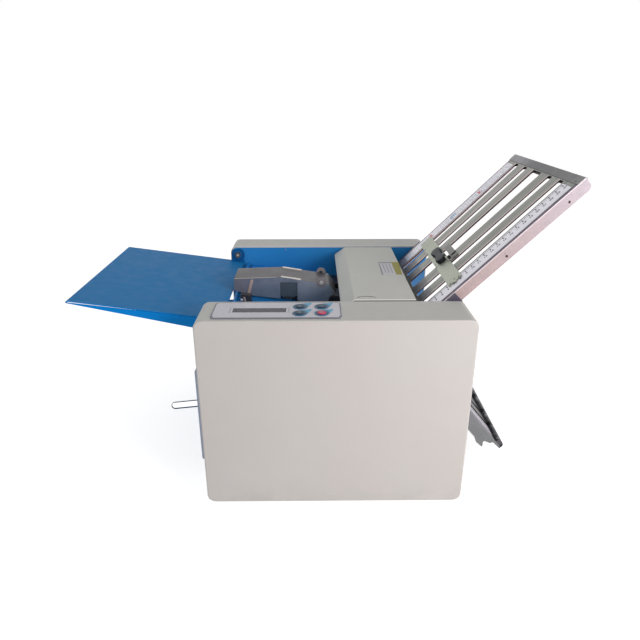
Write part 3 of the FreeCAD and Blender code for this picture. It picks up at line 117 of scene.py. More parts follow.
# %% The two slopes
class Slope:
    """The axes of one fold plate."""

    def __init__(self, end_x, end_z, angle, length, stop_at):
        turn = math.radians(angle)
        self.end = (end_x, end_z)
        self.along = (-math.cos(turn), -math.sin(turn))
        self.out = (-math.sin(turn), math.cos(turn))
        self.length = length
        self.stop_at = stop_at

    def __call__(self, u, v, w):
        x = self.end[0] + u * self.along[0] + w * self.out[0]
        z = self.end[1] + u * self.along[1] + w * self.out[1]
        return machine(x, CENTRE_Y - v, z)


slopes = {"upper": Slope(567.0, 504.0, 44.87, 317.0, 235.5),
          "lower": Slope(496.5, 44.6, -50.4, 233.0, 118.0)}
print("upper plate's free end:", [round(c, 3) for c in slopes["upper"](0, 0, 0)])

# %% [markdown]
# ## The camera
# The photograph was taken from the operator's side, a little to the left and from
# above. The place, the tilt and the lens below were solved from the corners of the
# housings and the tray, so the render lines up with the picture.

# %% Camera
lens_data = bpy.data.cameras.new("operator_view")
lens_data.lens = 32.136
lens_data.sensor_width = 36.0
lens_data.clip_start = 0.05
lens_data.clip_end = 60.0
camera = bpy.data.objects.new("operator_view", lens_data)
scene.collection.objects.link(camera)
camera.location = machine(173.97, -749.63, 624.37)
tilt = math.radians(22.09)
swing = math.radians(0.588)
aim = Vector((math.sin(swing) * math.cos(tilt), math.cos(swing) * math.cos(tilt), -math.sin(tilt)))
camera.rotation_mode = "QUATERNION"
camera.rotation_quaternion = aim.to_track_quat("-Z", "Y")
scene.camera = camera
print("camera at", [round(c, 3) for c in camera.location])

# %% [markdown]
# ## Writing shaders as sums
# A finish is a small graph of nodes. Laying nodes out one by one hides the idea, so
# a wire between nodes gets the usual signs of arithmetic here: adding two wires adds
# a Math node. A material is then read like a formula. Three functions after it give a
# distance, a wave that repeats, and a mask that is one where any of several are.

# %% A wire that can be added and multiplied
class Wire:
    """One output of a shader node."""

    def __init__(self, finish, socket):
        self.finish = finish
        self.socket = socket

    def other(self, name):
        return Wire(self.finish, self.socket.node.outputs[name])

    def calc(self, operation, *values):
        return self.finish.add("Math", {"operation": operation}, dict(enumerate(values)))

    def __add__(self, value):
        return self.calc("ADD", self, value)

    def __radd__(self, value):
        return self.calc("ADD", value, self)

    def __sub__(self, value):
        return self.calc("SUBTRACT", self, value)

    def __rsub__(self, value):
        return self.calc("SUBTRACT", value, self)

    def __mul__(self, value):
        return self.calc("MULTIPLY", self, value)

    def __rmul__(self, value):
        return self.calc("MULTIPLY", value, self)

    def __truediv__(self, value):
        return self.calc("DIVIDE", self, value)

    def __rtruediv__(self, value):
        return self.calc("DIVIDE", value, self)

    def __abs__(self):
        return self.calc("ABSOLUTE", self)

    def __gt__(self, value):
        return self.calc("GREATER_THAN", self, value)

    def __lt__(self, value):
        return self.calc("LESS_THAN", self, value)

    def at_least(self, value):
        return self.calc("MAXIMUM", self, value)

    def at_most(self, value):
        return self.calc("MINIMUM", self, value)


def distance(first, second):
    """The length that two offsets at right angles make."""
    total = first * first + second * second
    return total.calc("SQRT", total)


def ripple(value, half):
    """Rises from nought to half and falls back, over and over."""
    return value.calc("PINGPONG", value, half)


def any_of(masks):
    """One where at least one of the masks is one."""
    joined = masks[0]
    for mask in masks[1:]:
        joined = joined.at_least(mask)
    return joined


# %% [markdown]
# A finish starts with the object's own coordinates. They are in metres and stick to
# the piece when it moves, so a grain of 0.5 mm stays 0.5 mm on every piece. Colours
# are given as a paint maker's chip, 0 to 255, and turned into light values here.

# %% A finish and its helpers
def chip(red, green, blue):
    """A colour chip, 0 to 255 each, as linear light."""
    def linear(value):
        share = value / 255
        return share / 12.92 if share <= 0.04045 else ((share + 0.055) / 1.055) ** 2.4
    return (linear(red), linear(green), linear(blue), 1.0)


def deeper(colour, share):
    return tuple(value * share for value in colour[:3]) + (1.0,)


class Finish:
    """One material in the making."""

    def __init__(self, name):
        self.material = bpy.data.materials.new(name)
        self.material.use_nodes = True
        self.tree = self.material.node_tree
        self.tree.nodes.clear()
        self.place = self.add("TexCoord", output="Object")
        self.x = self.add("SeparateXYZ", {}, {0: self.place})
        self.y = self.x.other("Y")
        self.z = self.x.other("Z")

    def add(self, kind, settings=None, sockets=None, output=0):
        made = self.tree.nodes.new("ShaderNode" + kind)
        for name, value in (settings or {}).items():
            if name == "stops":
                ramp = made.color_ramp.elements
                while len(ramp) < len(value):
                    ramp.new(0.5)
                for stop, (position, colour) in zip(ramp, value):
                    stop.position = position
                    stop.color = colour
            else:
                setattr(made, name, value)
        for name, value in (sockets or {}).items():
            if isinstance(value, Wire):
                self.tree.links.new(value.socket, made.inputs[name])
            else:
                made.inputs[name].default_value = value
        return Wire(self, made.outputs[output]) if made.outputs else None

    def stretched(self, x, y, z):
        return self.add("VectorMath", {"operation": "MULTIPLY"}, {0: self.place, 1: (x, y, z)})

    def noise(self, scale, detail=2.0, roughness=0.5, along=None):
        return self.add("TexNoise", {}, {"Vector": along or self.place, "Scale": scale,
                                         "Detail": detail, "Roughness": roughness})

    def span(self, value, low, high, to_low=0.0, to_high=1.0):
        return self.add("MapRange", {"clamp": True},
                        {0: value, 1: low, 2: high, 3: to_low, 4: to_high})

    def mix(self, mask, first, second):
        return self.add("Mix", {"data_type": "RGBA"}, {0: mask, 6: first, 7: second}, output=2)

    def bump(self, height, distance, strength=1.0, over=None):
        sockets = {"Height": height, "Distance": distance, "Strength": strength}
        if over is not None:
            sockets["Normal"] = over
        return self.add("Bump", {}, sockets)

    def step(self, value, low, high):
        """One between low and high, nought outside."""
        return (value > low) * (value < high)

    def down_plate(self, slope):
        """How far down a fold plate, across it and above it, in metres."""
        origin = slope(0, 0, 0)
        across = self.x - origin.x
        height = self.z - origin.z
        down = across * slope.along[0] + height * slope.along[1]
        above = across * slope.out[0] + height * slope.out[1]
        return down, origin.y - self.y, above

    def facing(self):
        """Which way the surface looks, as x, y and z shares."""
        way = self.add("TexCoord", output="Normal")
        x = self.add("SeparateXYZ", {}, {0: way})
        return x, x.other("Y"), x.other("Z")

    def away_from(self, x, z):
        """Distance from an axis that runs across the machine, in metres."""
        return distance(self.x - at_x(x), self.z - z / 1000)

    def hairlines(self, width=0.006, spread=9.0, run=40.0):
        """Thin curved scratches that come in patches."""
        line = abs(self.noise(run, 1.0) - 0.5) < width
        return line * self.span(self.noise(spread, 2.0), 0.56, 0.62)

    def surface(self, sockets):
        shader = self.add("BsdfPrincipled", {}, sockets)
        self.add("OutputMaterial", {}, {"Surface": shader})
        return self.material


def dress(material, *names):
    """Puts a finish on solids from the drawing."""
    for name in names:
        for holder in nodes[name].material_slots:
            holder.material = material
    print(material.name, "on", ", ".join(names))


# %% [markdown]
# ## Painted sheet
# The housings and the cover are steel sheet with a fine powder coat. Such paint is
# never one colour: it has slow clouds, a fine grain, a slight orange peel that breaks
# up reflections, and hairline marks from handling. The blue frame has a smoother,
# glossier coat of the same sort, so one function makes both.

# %% Powder coats
def powder_coat(name, colour, second, gloss, shine, peel, scratches, dust, local=None):
    """local, if given, returns a mask and a colour for one special place."""
    paint = Finish(name)
    cloud = paint.noise(6.0, 3.0)
    grain = paint.noise(2400.0, 1.0)
    lines = paint.hairlines() * scratches
    body = paint.mix(paint.span(cloud, 0.35, 0.65), colour, second)
    body = paint.mix(paint.span(grain, 0.3, 0.7) * 0.30, body, deeper(colour, 0.86))
    body = paint.mix(lines, body, deeper(colour, 1.25))
    up = paint.facing()[2]
    dust_cloud = paint.span(paint.noise(26.0, 4.0), 0.35, 0.75)
    settled = paint.span(up, 0.6, 1.0) * dust_cloud * dust
    body = paint.mix(settled, body, chip(196, 196, 194))
    foot_cloud = paint.span(paint.noise(34.0, 3.0), 0.4, 0.7)
    low = paint.span(paint.z, 0.004, 0.05, 0.16, 0.0) * foot_cloud
    body = paint.mix(low, body, deeper(colour, 0.55))
    for mask, tone in (local(paint) if local else []):
        body = paint.mix(mask, body, tone)
    rough = paint.span(paint.noise(60.0, 3.0), 0.3, 0.7, gloss - 0.05, gloss + 0.06)
    skin = paint.noise(peel, 2.0) + grain * 0.15 - lines * 0.5
    return paint.surface({"Base Color": body, "Roughness": rough + settled * 0.4, "IOR": 1.46,
                          "Specular IOR Level": shine, "Normal": paint.bump(skin, 0.0002, 0.5)})


def housing_painted_light(paint):
    # Painted light: the tops get a greyer tone than the fronts, and a painted highlight runs along the
    # far housing's inner top edge.
    top = paint.facing()[2] > 0.7
    inner_edge_highlight = top * paint.step(paint.y, at_y(409.0), at_y(414.5))
    return [(top * 0.8, chip(190, 191, 188)), (inner_edge_highlight * 0.7, chip(236, 236, 232))]


housing_coat = powder_coat("housing_powder_coat", chip(207, 206, 202), chip(206, 202, 198),
                           0.5, 0.5, 700.0, 0.06, 0.03, housing_painted_light)
dress(housing_coat, "near_housing", "far_housing")

# %% [markdown]
# The blue coat is deeper and less shiny. The tray's top and near flange get shaded and lit
# tones of the same blue, with painted shade at the root below the far ear and round each
# ear's rim, and a dark ring round each pin. The tab that stands out on the left is painted
# pale. The far side plate gets a painted shadow behind the ear, a painted highlight along
# its top edge and painted shade low under the fold plate. The cover gets a painted
# highlight along its edge towards the operator, painted shade in the gap beside it, a
# greyer painted tone on its top, and one curved scuff.

# %% Blue frame and cover
PIN_TO_RIM = 0.0118


def tray_painted_light_and_ear_rings(paint):
    away = paint.away_from(*TRAY_PIN)
    # Painted shade round each ear's rim, and a dark ring round each pin.
    ear_rim_shade = paint.step(away, 0.0106, 0.0122) * 0.7
    washer = paint.span(away, 0.0052, 0.0068, 0.9, 0.0)
    x, y, z = paint.facing()
    # Lit and shaded tones of the one blue: the top darker and the near flange brighter, with painted
    # shade at the root below the far ear.
    flange = (y < -0.7) * (paint.y < at_y(140.0))
    root = paint.span(paint.x, at_x(-14.0), at_x(0.0)) * (paint.y > at_y(396.0))
    return [(z > 0.6, chip(22, 118, 180)), (flange, chip(0, 138, 226)),
            (root * 0.5, chip(12, 74, 134)), (ear_rim_shade, chip(8, 46, 96)),
            (washer, chip(22, 30, 52))]


def pale_tab(paint):
    # The tab left of the housing's edge is painted pale.
    return [((paint.x < at_x(0.4)) * 0.92, chip(196, 204, 224))]


def far_plate_painted_light(paint):
    # Painted shadow of the tray's ear behind it, a painted highlight along the plate's top edge, and
    # painted shade low under the fold plate.
    away = paint.away_from(*TRAY_PIN)
    ear_shadow = paint.span(away, PIN_TO_RIM, 0.0155, 0.6, 0.0)
    ear_shadow = ear_shadow * (paint.x > at_x(17.0)) * (away > PIN_TO_RIM)
    top_edge_highlight = (paint.facing()[2] > 0.7) * (paint.z > 0.31)
    under_plate_shade = (paint.x > at_x(318.0)) * (paint.z < 0.285) * 0.5
    return [(ear_shadow, chip(10, 52, 104)), (top_edge_highlight * 0.7, chip(188, 200, 214)),
            (under_plate_shade, chip(96, 118, 150))]


def cover_painted_light_and_scuff(paint):
    cover_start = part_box("top_cover")[0].y
    # Painted highlight along the edge towards the operator, and a painted shade line in the gap beside
    # it.
    edge = (paint.y < cover_start + 0.0062) * (paint.z > 0.3165)
    gap_line_shade = (paint.y < cover_start + 0.0014) * (paint.z > 0.3)
    start = machine(241.6, 103.6, 0)
    along = (paint.x - start.x) / 0.030
    bow = paint.y - (start.y - 0.004) - 0.017 * along * (1.0 - along)
    ragged = bow + paint.noise(180.0, 2.0) * 0.0036 - 0.0018
    scuff = (abs(ragged) < 0.0017) * paint.step(along, 0.0, 1.0)
    # Painted shade on the side that faces the operator in the gap, and a greyer painted tone on the
    # top than on the front.
    gap_side_shade = (paint.facing()[1] < -0.7) * (paint.y < at_y(86.0))
    top = (paint.facing()[2] > 0.7) * 0.6
    return [(top, chip(192, 193, 188)), (edge, chip(252, 251, 247)),
            (scuff * 0.85, chip(96, 94, 92)), (gap_side_shade, chip(74, 72, 70)),
            (gap_line_shade, chip(62, 60, 60))]


blue = (chip(28, 130, 202), chip(22, 122, 196))
cover_coat = powder_coat("cover_powder_coat", chip(207, 207, 202), chip(203, 203, 199),
                         0.5, 0.5, 700.0, 0.1, 0.03, cover_painted_light_and_scuff)
blue_coat = powder_coat("blue_coat", *blue, 0.48, 0.22, 420.0, 0.2, 0.04)
tray_coat = powder_coat("blue_tray_coat", *blue, 0.48, 0.13, 420.0, 0.2, 0.02, tray_painted_light_and_ear_rings)
plate_coat = powder_coat("blue_plate_coat", *blue, 0.48, 0.22, 420.0, 0.2, 0.04, pale_tab)
# The far side plate's blue is painted lighter than the same paint elsewhere, as painted light.
far_coat = powder_coat("blue_far_plate_coat", chip(50, 146, 218), chip(42, 140, 212),
                       0.48, 0.22, 420.0, 0.2, 0.04, far_plate_painted_light)
dress(cover_coat, "top_cover")
dress(far_coat, "far_side_plate")
dress(blue_coat, "feed_deck", "tie_bars")
dress(tray_coat, "feed_tray")
dress(plate_coat, "near_side_plate")

# %% [markdown]
# ## Bare metal
# Rolled and brushed sheet shows fine lines in one direction. Both fold plates have
# their long bars at right angles to the machine's width, so noise that changes fast
# across the machine and slowly the other ways gives lines along every bar. The same
# trick puts turning marks round the rollers and shafts.

# %% Brushed metals
def brushed(name, colour, second, roughness, grain=1500.0, depth=0.00004):
    metal = Finish(name)
    lines = metal.noise(1.0, 3.0, 0.6, metal.stretched(14.0, grain, 14.0))
    cloud = metal.noise(18.0, 3.0)
    body = metal.mix(metal.span(lines, 0.3, 0.7), colour, second)
    body = metal.mix(metal.span(cloud, 0.4, 0.75) * 0.4, body, deeper(colour, 0.72))
    marks = metal.hairlines(0.005, 14.0, 70.0)
    body = metal.mix(marks * 0.4, body, deeper(colour, 1.3))
    rough = metal.span(lines, 0.3, 0.7, roughness - 0.06, roughness + 0.08) + cloud * 0.08
    return metal.surface({"Base Color": body, "Metallic": 1.0, "Roughness": rough,
                          "Normal": metal.bump(lines - marks * 0.5, depth, 0.35)})


stop_satin = brushed("stop_satin_aluminium", chip(172, 176, 164), chip(162, 166, 154), 0.44)
clamp_satin = brushed("clamp_satin_steel", chip(132, 132, 128), chip(120, 120, 118), 0.46)
bright_steel = brushed("bright_plated_steel", chip(232, 232, 235), chip(224, 224, 228),
                       0.12, 2600.0, 0.00001)
dress(stop_satin, "upper_stop_bar", "lower_stop_bar")
dress(clamp_satin, "upper_stop_clamps", "lower_stop_clamps")
dress(bright_steel, "upper_fine_screw", "lower_fine_screw")

# %% [markdown]
# The pins of the tray and the trim of the arm are plated, but dulled by fingers, so they
# look pale from every side instead of mirroring the blue sheet. The arm's far rivet and
# its pivot shaft are painted nearly black, and the rim of each tray pin's head gets
# painted shade round its bright middle.

# %% Pins and trim
def dull_plated(name, dark_places):
    metal = Finish(name)
    grain = metal.noise(1400.0, 2.0)
    cloud = metal.span(metal.noise(60.0, 3.0), 0.3, 0.7)
    body = metal.mix(cloud, chip(224, 218, 208), chip(206, 200, 192))
    for mask in dark_places(metal):
        body = metal.mix(mask, body, chip(52, 50, 54))
    rough = metal.span(grain, 0.3, 0.7, 0.3, 0.42)
    return metal.surface({"Base Color": body, "Metallic": 0.4, "Roughness": rough,
                          "Normal": metal.bump(grain, 0.00002, 0.3)})


def dark_rivet_and_shaft(metal):
    # The far rivet and everything below 284 mm are painted dark.
    far_rivet = (metal.y > at_y(270.0)) * (metal.x > at_x(170.0))
    return [far_rivet.at_least(metal.z < 0.284)]


def pin_rim_shade_and_dark_stud(metal):
    # Painted shade on the rim of the tray pin's head; the stud at the arm's shaft is painted dark.
    tray_pin = metal.away_from(*TRAY_PIN)
    rim = metal.step(tray_pin, 0.0022, 0.0080)
    return [metal.span(tray_pin, 0.0018, 0.0032, 0.0, 0.85) * rim,
            metal.away_from(*ARM_SHAFT) < 0.009]


dress(dull_plated("dulled_pins", pin_rim_shade_and_dark_stud), "frame_studs")
dress(dull_plated("dulled_arm_fittings", dark_rivet_and_shaft), "arm_fittings")

# %% [markdown]
# The slotted grids are sheared sheet. Beside one side of every slot runs a painted
# highlight, then a band of painted shade up to the slot, and the metal darkens towards the
# operator. Faces that look towards the operator or down the plate, and the slots' upper
# ends, get painted shade, and a painted shadow of the cover falls across the upper plate's
# foot. All of this follows the plate's own axes, so the finish asks how far across the
# plate a point lies. The slots start where the numbers say, in millimetres across the
# plate, and the middle one is wider than the rest.

# %% Slotted grids
WIDE_SLOT = -16.3
SLOT_STARTS = (-110.0, -64.5, WIDE_SLOT, 50.5, 96.0)
EDGE_HIGHLIGHT_WIDTH = 0.0026
SLOT_SHADE_WIDTH = 0.0022
WIDE_SLOT_SHADE_WIDTH = 0.0045
MARGIN = 0.1486
MARGIN_RIM = 0.1512


def sheared_grid(name, slope, far_tone, near_tone, margin_tone, wall_tone):
    metal = Finish(name)
    down, across, above = metal.down_plate(slope)
    lines = metal.noise(1.0, 3.0, 0.6, metal.stretched(14.0, 1500.0, 14.0))
    cloud = metal.noise(18.0, 3.0)
    body = metal.mix(metal.span(across, -0.12, 0.11), far_tone, near_tone)
    body = metal.mix(metal.span(lines, 0.3, 0.7) * 0.35, body, deeper(far_tone, 0.62))
    body = metal.mix(metal.span(cloud, 0.4, 0.75) * 0.25, body, deeper(near_tone, 0.7))
    streaks = metal.noise(1.0, 2.0, 0.6, metal.stretched(3.0, 300.0, 3.0))
    body = metal.mix(metal.span(streaks, 0.42, 0.62) * 0.4, body, deeper(far_tone, 1.25))
    body = metal.mix(metal.span(streaks, 0.50, 0.36) * 0.4, body, deeper(near_tone, 0.6))
    # Painted highlight: a bright line beside each slot. Painted shade: the dark band between that line
    # and the slot.
    edge_highlights, slot_shades = [], []
    for start in SLOT_STARTS:
        wall = start / 1000 - (WIDE_SLOT_SHADE_WIDTH if start == WIDE_SLOT else SLOT_SHADE_WIDTH)
        edge_highlights.append(metal.step(across, wall - EDGE_HIGHLIGHT_WIDTH, wall))
        slot_shades.append(metal.step(across, wall, start / 1000 + 0.0001))
    slotted = metal.step(down, 0.015, slope.length / 1000 - 0.013) * (above > -0.0003)
    body = metal.mix(any_of(edge_highlights) * slotted * 0.8, body, chip(222, 200, 202))
    body = metal.mix(any_of(slot_shades) * slotted, body, wall_tone)
    body = metal.mix(abs(across) > MARGIN, body, margin_tone)
    body = metal.mix(abs(across) > MARGIN_RIM, body, deeper(margin_tone, 2.2))
    shade = metal.span(down - across * 0.02, 0.272, 0.278) * (metal.z > 0.29)
    body = metal.mix(shade * 0.5, body, chip(84, 88, 106))
    # Painted shade at the slots' upper ends and on every face that looks towards the operator or down
    # the plate.
    slot_end_shade = metal.step(down, 0.0155, 0.0205) * (above < -0.0012)
    x, y, z = metal.facing()
    towards = (y < -0.7) + (x * slope.along[0] + z * slope.along[1] > 0.7) + slot_end_shade
    body = metal.mix(towards.at_most(1.0), body, wall_tone)
    rough = metal.span(lines, 0.3, 0.7, 0.4, 0.52) + cloud * 0.08
    return metal.surface({"Base Color": body, "Metallic": 0.9, "Roughness": rough,
                          "Normal": metal.bump(lines, 0.00003, 0.3)})


upper_grid = sheared_grid("upper_grid_metal", slopes["upper"], chip(160, 159, 155),
                          chip(134, 137, 132), chip(86, 76, 86), chip(52, 38, 40))
lower_grid = sheared_grid("lower_grid_metal", slopes["lower"], chip(126, 129, 130),
                          chip(106, 109, 108), chip(84, 86, 88), chip(38, 36, 40))
dress(upper_grid, "upper_front_grid", "upper_back_grid", "grid_spacers")
dress(lower_grid, "lower_front_grid", "lower_back_grid")

# %% [markdown]
# The rails beside the grids are anodised with a faint pink. Their top edge gets a
# painted highlight. The dark spot in each drilling is painted shade in the socket of the
# set screw that fills it further down.

# %% Anodised rails
RAIL_HOLES = (37.6, 153.4)
HOLE_LINE = -11.0


def anodised_rail(name, slope, upper_tone, lower_tone, edge_highlight_tone, holes):
    metal = Finish(name)
    down, across, above = metal.down_plate(slope)
    lines = metal.noise(1.0, 3.0, 0.6, metal.stretched(60.0, 60.0, 60.0))
    body = metal.mix(metal.span(down, 0.0, slope.length / 1000), upper_tone, lower_tone)
    body = metal.mix(metal.span(lines, 0.35, 0.7) * 0.35, body, deeper(upper_tone, 0.8))
    specks = metal.span(metal.noise(420.0, 3.0), 0.5, 0.75) * 0.5
    body = metal.mix(specks, body, deeper(upper_tone, 0.66))
    for hole in holes:
        # Painted shade in each set screw's socket.
        socket = distance(down - hole / 1000, above - HOLE_LINE / 1000) < 0.0018
        body = metal.mix(socket, body, chip(52, 40, 40))
    # Painted highlight along the rail's top edge.
    body = metal.mix(above > -0.0005, body, edge_highlight_tone)
    fine = metal.noise(1500.0, 2.0)
    rough = metal.span(fine, 0.3, 0.7, 0.46, 0.56)
    return metal.surface({"Base Color": body, "Metallic": 0.6, "Roughness": rough,
                          "Normal": metal.bump(fine, 0.00003, 0.3)})


upper_rail_metal = anodised_rail("upper_rail_metal", slopes["upper"], chip(158, 151, 158),
                                 chip(180, 156, 150), chip(238, 228, 232), RAIL_HOLES)
lower_rail_metal = anodised_rail("lower_rail_metal", slopes["lower"], chip(122, 126, 126),
                                 chip(132, 128, 140), chip(150, 150, 156), ())
dress(upper_rail_metal, "upper_rails")
dress(lower_rail_metal, "lower_rails")

# %% [markdown]
# The side lever is a bright tongue with ground flat faces. Its rounded rim gets painted
# shade, wider along the lower side. A point is on the rim when it is nearly as far from
# the tongue's centre line as the tongue is wide.

# %% Side lever
LEVER_LENGTH = 72.0
lever_turn = math.radians(186.0)
lever = Finish("bright_lever_steel")
reach_x = lever.x - at_x(LEVER_PIVOT[0])
reach_z = lever.z - LEVER_PIVOT[1] / 1000
along_lever = reach_x * math.cos(lever_turn) + reach_z * math.sin(lever_turn)
off_lever = reach_z * math.cos(lever_turn) - reach_x * math.sin(lever_turn)
past_tip = (along_lever - LEVER_LENGTH / 1000).at_least(0.0)
# Painted shade on the rim, wider along the lower side.
rim = lever.span(distance(off_lever, past_tip) + off_lever * 0.22, 0.0041, 0.0049)
polish = lever.noise(1.0, 3.0, 0.6, lever.stretched(120.0, 120.0, 2400.0))
ground = lever.mix(polish, chip(255, 255, 255), chip(250, 251, 253))
lever_colour = lever.mix(rim, ground, chip(40, 60, 82))
dress(lever.surface({"Base Color": lever_colour, "Metallic": 1.0,
                     "Roughness": lever.span(polish, 0.3, 0.7, 0.08, 0.14),
                     "Normal": lever.bump(polish, 0.00002, 0.3)}), "side_lever")

# %% [markdown]
# Zinc-plated sheet has a crystal pattern: flat patches a few millimetres wide that
# each catch the light a little differently. A Voronoi texture gives every patch one
# random value, which shifts both its colour and its roughness.

# %% Zinc plate
def zinc_plate(name, colour):
    metal = Finish(name)
    cells = metal.add("TexVoronoi", {}, {"Vector": metal.place, "Scale": 190.0}, output="Color")
    patch = metal.add("SeparateXYZ", {}, {0: cells})
    fine = metal.noise(1300.0, 2.0)
    body = metal.mix(patch, colour, deeper(colour, 0.78))
    body = metal.mix(metal.span(metal.noise(22.0, 4.0), 0.5, 0.8) * 0.5, body, chip(150, 146, 136))
    rough = patch * 0.16 + 0.34 + fine * 0.08
    return metal.surface({"Base Color": body, "Metallic": 1.0, "Roughness": rough,
                          "Normal": metal.bump(fine, 0.00003, 0.3)})


dress(zinc_plate("zinc_plated_sheet", chip(196, 198, 200)), "base_pan")
dress(zinc_plate("shaded_zinc_sheet", chip(96, 98, 104)), "sheet_guides")

# %% [markdown]
# ## Plastic and rubber
# Moulded plastic takes the spark-eroded texture of its mould: a dense, shallow grain.
# Rubber is duller, and picks up paper dust in its pores. Both are one function with
# a grain size, a depth and an amount of dust.

# %% Moulded plastics and rubbers
def moulded(name, colour, roughness, grain=1700.0, depth=0.00005, dust=0.0, coat=0.0,
            shine=0.5):
    plastic = Finish(name)
    pores = plastic.noise(grain, 2.0)
    cloud = plastic.noise(30.0, 3.0)
    body = plastic.mix(plastic.span(cloud, 0.3, 0.7), colour, deeper(colour, 0.86))
    body = plastic.mix(plastic.span(pores, 0.35, 0.65) * 0.25, body, deeper(colour, 1.3))
    wear = plastic.hairlines(0.006, 30.0, 120.0)
    body = plastic.mix(wear * 0.4, body, deeper(colour, 1.8))
    film = plastic.span(plastic.noise(90.0, 4.0), 0.4, 0.8) * dust
    body = plastic.mix(film, body, chip(176, 172, 166))
    rough = plastic.span(pores, 0.3, 0.7, roughness - 0.05, roughness + 0.07) + film * 0.3
    return plastic.surface({"Base Color": body, "Roughness": rough, "IOR": 1.5,
                            "Coat Weight": coat, "Specular IOR Level": shine,
                            "Normal": plastic.bump(pores, depth, 0.5)})


black_moulding = moulded("black_moulding", chip(46, 46, 50), 0.5, dust=0.08)
knob_moulding = moulded("knob_moulding", chip(24, 31, 40), 0.5, dust=0.03)
grey_cap = moulded("grey_button_cap", chip(66, 84, 98), 0.45, shine=0.2)
cheek_moulding = moulded("cheek_moulding", chip(70, 82, 92), 0.5, dust=0.05)
red_cap = moulded("red_button_cap", chip(212, 72, 104), 0.4, shine=0.25)
hub_moulding = moulded("hub_moulding", chip(82, 88, 94), 0.45)
black_rubber = moulded("black_rubber", chip(44, 44, 46), 0.72, 900.0, 0.0001, 0.25)
brown_rubber = moulded("pale_friction_rubber", chip(232, 200, 190), 0.8, 700.0, 0.00015, 0.2)
dress(black_moulding, "sheet_sensor", "power_inlet", "switch_rocker", "arm_beam")
dress(moulded("violet_black_bracket", chip(64, 58, 80), 0.5, dust=0.05), "rail_brackets")
dress(cheek_moulding, "roller_cheeks")
dress(grey_cap, "button_plus", "button_minus", "button_start")
dress(red_cap, "button_stop")
dress(hub_moulding, "feed_roller_hub")
dress(black_rubber, "rubber_feet", "feed_roller_tyre", "exit_belt")
dress(brown_rubber, "separator_pad")

# %% [markdown]
# The end bars close the free ends of the fold plates. Light wraps over their rounded
# nose, and the metal is cloudy: lilac at the far end, dull in the middle. The lower bar
# gets painted shade beside the slots and along its free edge, with small painted glints
# between the slots. The motor's case is a cast one with a coarse skin.

# %% End bars and motor case
ends = Finish("cloudy_end_metal")
across_end = (ends.y - at_y(CENTRE_Y)) * -1.0
band = ends.span(across_end, -0.15, -0.03)
tone = ends.mix(band, chip(160, 157, 163), chip(100, 100, 102))
tone = ends.mix(ends.span(across_end, 0.0, 0.14), tone, chip(118, 118, 118))
cloud = ends.noise(24.0, 4.0)
brush_marks = ends.noise(1.0, 3.0, 0.6, ends.stretched(900.0, 20.0, 900.0))
tone = ends.mix(ends.span(cloud, 0.35, 0.7) * 0.4, tone, chip(96, 96, 100))
rivet_down = ends.down_plate(slopes["upper"])[0] - 0.0105
rivet = (distance(across_end - 0.1425, rivet_down) < 0.0019) * (ends.z > 0.3)
tone = ends.mix(rivet, tone, chip(54, 54, 60))
lower_bar = ends.z < 0.3
tone = ends.mix(lower_bar, tone, chip(86, 84, 88))
low_down, ignored, low_up = ends.down_plate(slopes["lower"])
HALF_SLOT = 7.0
slot_middles = [0.0 if start == WIDE_SLOT else (start + HALF_SLOT) / 1000 for start in SLOT_STARTS]
beside_slot = any_of([abs(across_end - middle) < 0.0052 for middle in slot_middles])
# Painted shade beside the lower bar's slots and along its free edge.
patch = lower_bar * (low_down > 0.0095)
tone = ends.mix(patch * beside_slot, tone, chip(26, 24, 28))
tone = ends.mix(lower_bar * (low_down < 0.0024), tone, chip(34, 34, 38))
# Painted glints between the slots.
painted_glint = patch * (1.0 - beside_slot) * (ends.noise(90.0, 1.0) > 0.6) * (low_up > 0.003)
tone = ends.mix(painted_glint, tone, chip(132, 130, 132))
dress(ends.surface({"Base Color": tone, "Metallic": 0.85,
                    "Roughness": ends.span(cloud, 0.3, 0.7, 0.38, 0.5),
                    "Normal": ends.bump(brush_marks, 0.00003, 0.3)}), "end_bars")
dress(moulded("motor_case", chip(72, 74, 78), 0.5, 500.0, 0.00025, 0.1), "drive_motor")

# %% [markdown]
# The feed arm is a smoky, half-clear sheet: the blue frame and the roller show through
# its walls as shadows, so the walls' Alpha is well below one. Its top is scuffed to a
# brownish grey and lets less through, and the folded edge towards the operator
# catches the light as a thin line.

# %% Smoky arm
sheet = Finish("smoky_half_clear_sheet")
haze = sheet.noise(40.0, 4.0)
wall = abs(sheet.facing()[1]) > 0.7
top_tone = sheet.mix(sheet.span(haze, 0.35, 0.7), chip(72, 69, 75), chip(82, 78, 81))
mottled = sheet.span(sheet.noise(230.0, 3.0), 0.42, 0.62)
mottled = mottled * sheet.step(sheet.x, at_x(104.0), at_x(152.0))
top_tone = sheet.mix(mottled * 0.5, top_tone, chip(58, 56, 62))
wall_tone = sheet.mix(sheet.span(haze, 0.35, 0.7), chip(122, 134, 150), chip(134, 144, 158))
rightwards = sheet.span(sheet.x, at_x(135.0), at_x(160.0))
wall_tone = sheet.mix(rightwards, wall_tone, chip(152, 162, 174))
leftwards = sheet.span(sheet.x, at_x(45.0), at_x(62.0), 1.0, 0.0)
wall_tone = sheet.mix(leftwards * 0.7, wall_tone, chip(128, 122, 132))
by_ear = sheet.span(sheet.away_from(*ARM_EAR), 0.0085, 0.0105, 1.0, 0.0)
brown = by_ear.at_least(sheet.span(sheet.x, at_x(203.0), at_x(208.0)))
smoky = sheet.mix(wall, top_tone, sheet.mix(brown, wall_tone, chip(148, 143, 144)))
smoky = sheet.mix(sheet.hairlines(0.006, 20.0, 90.0) * 0.5, smoky, chip(176, 172, 170))
near_fold = (sheet.y < at_y(216.4)) * 0.85
far_fold = (sheet.y > at_y(274.0)) * 0.4
upwards = sheet.facing()[2] > 0.3
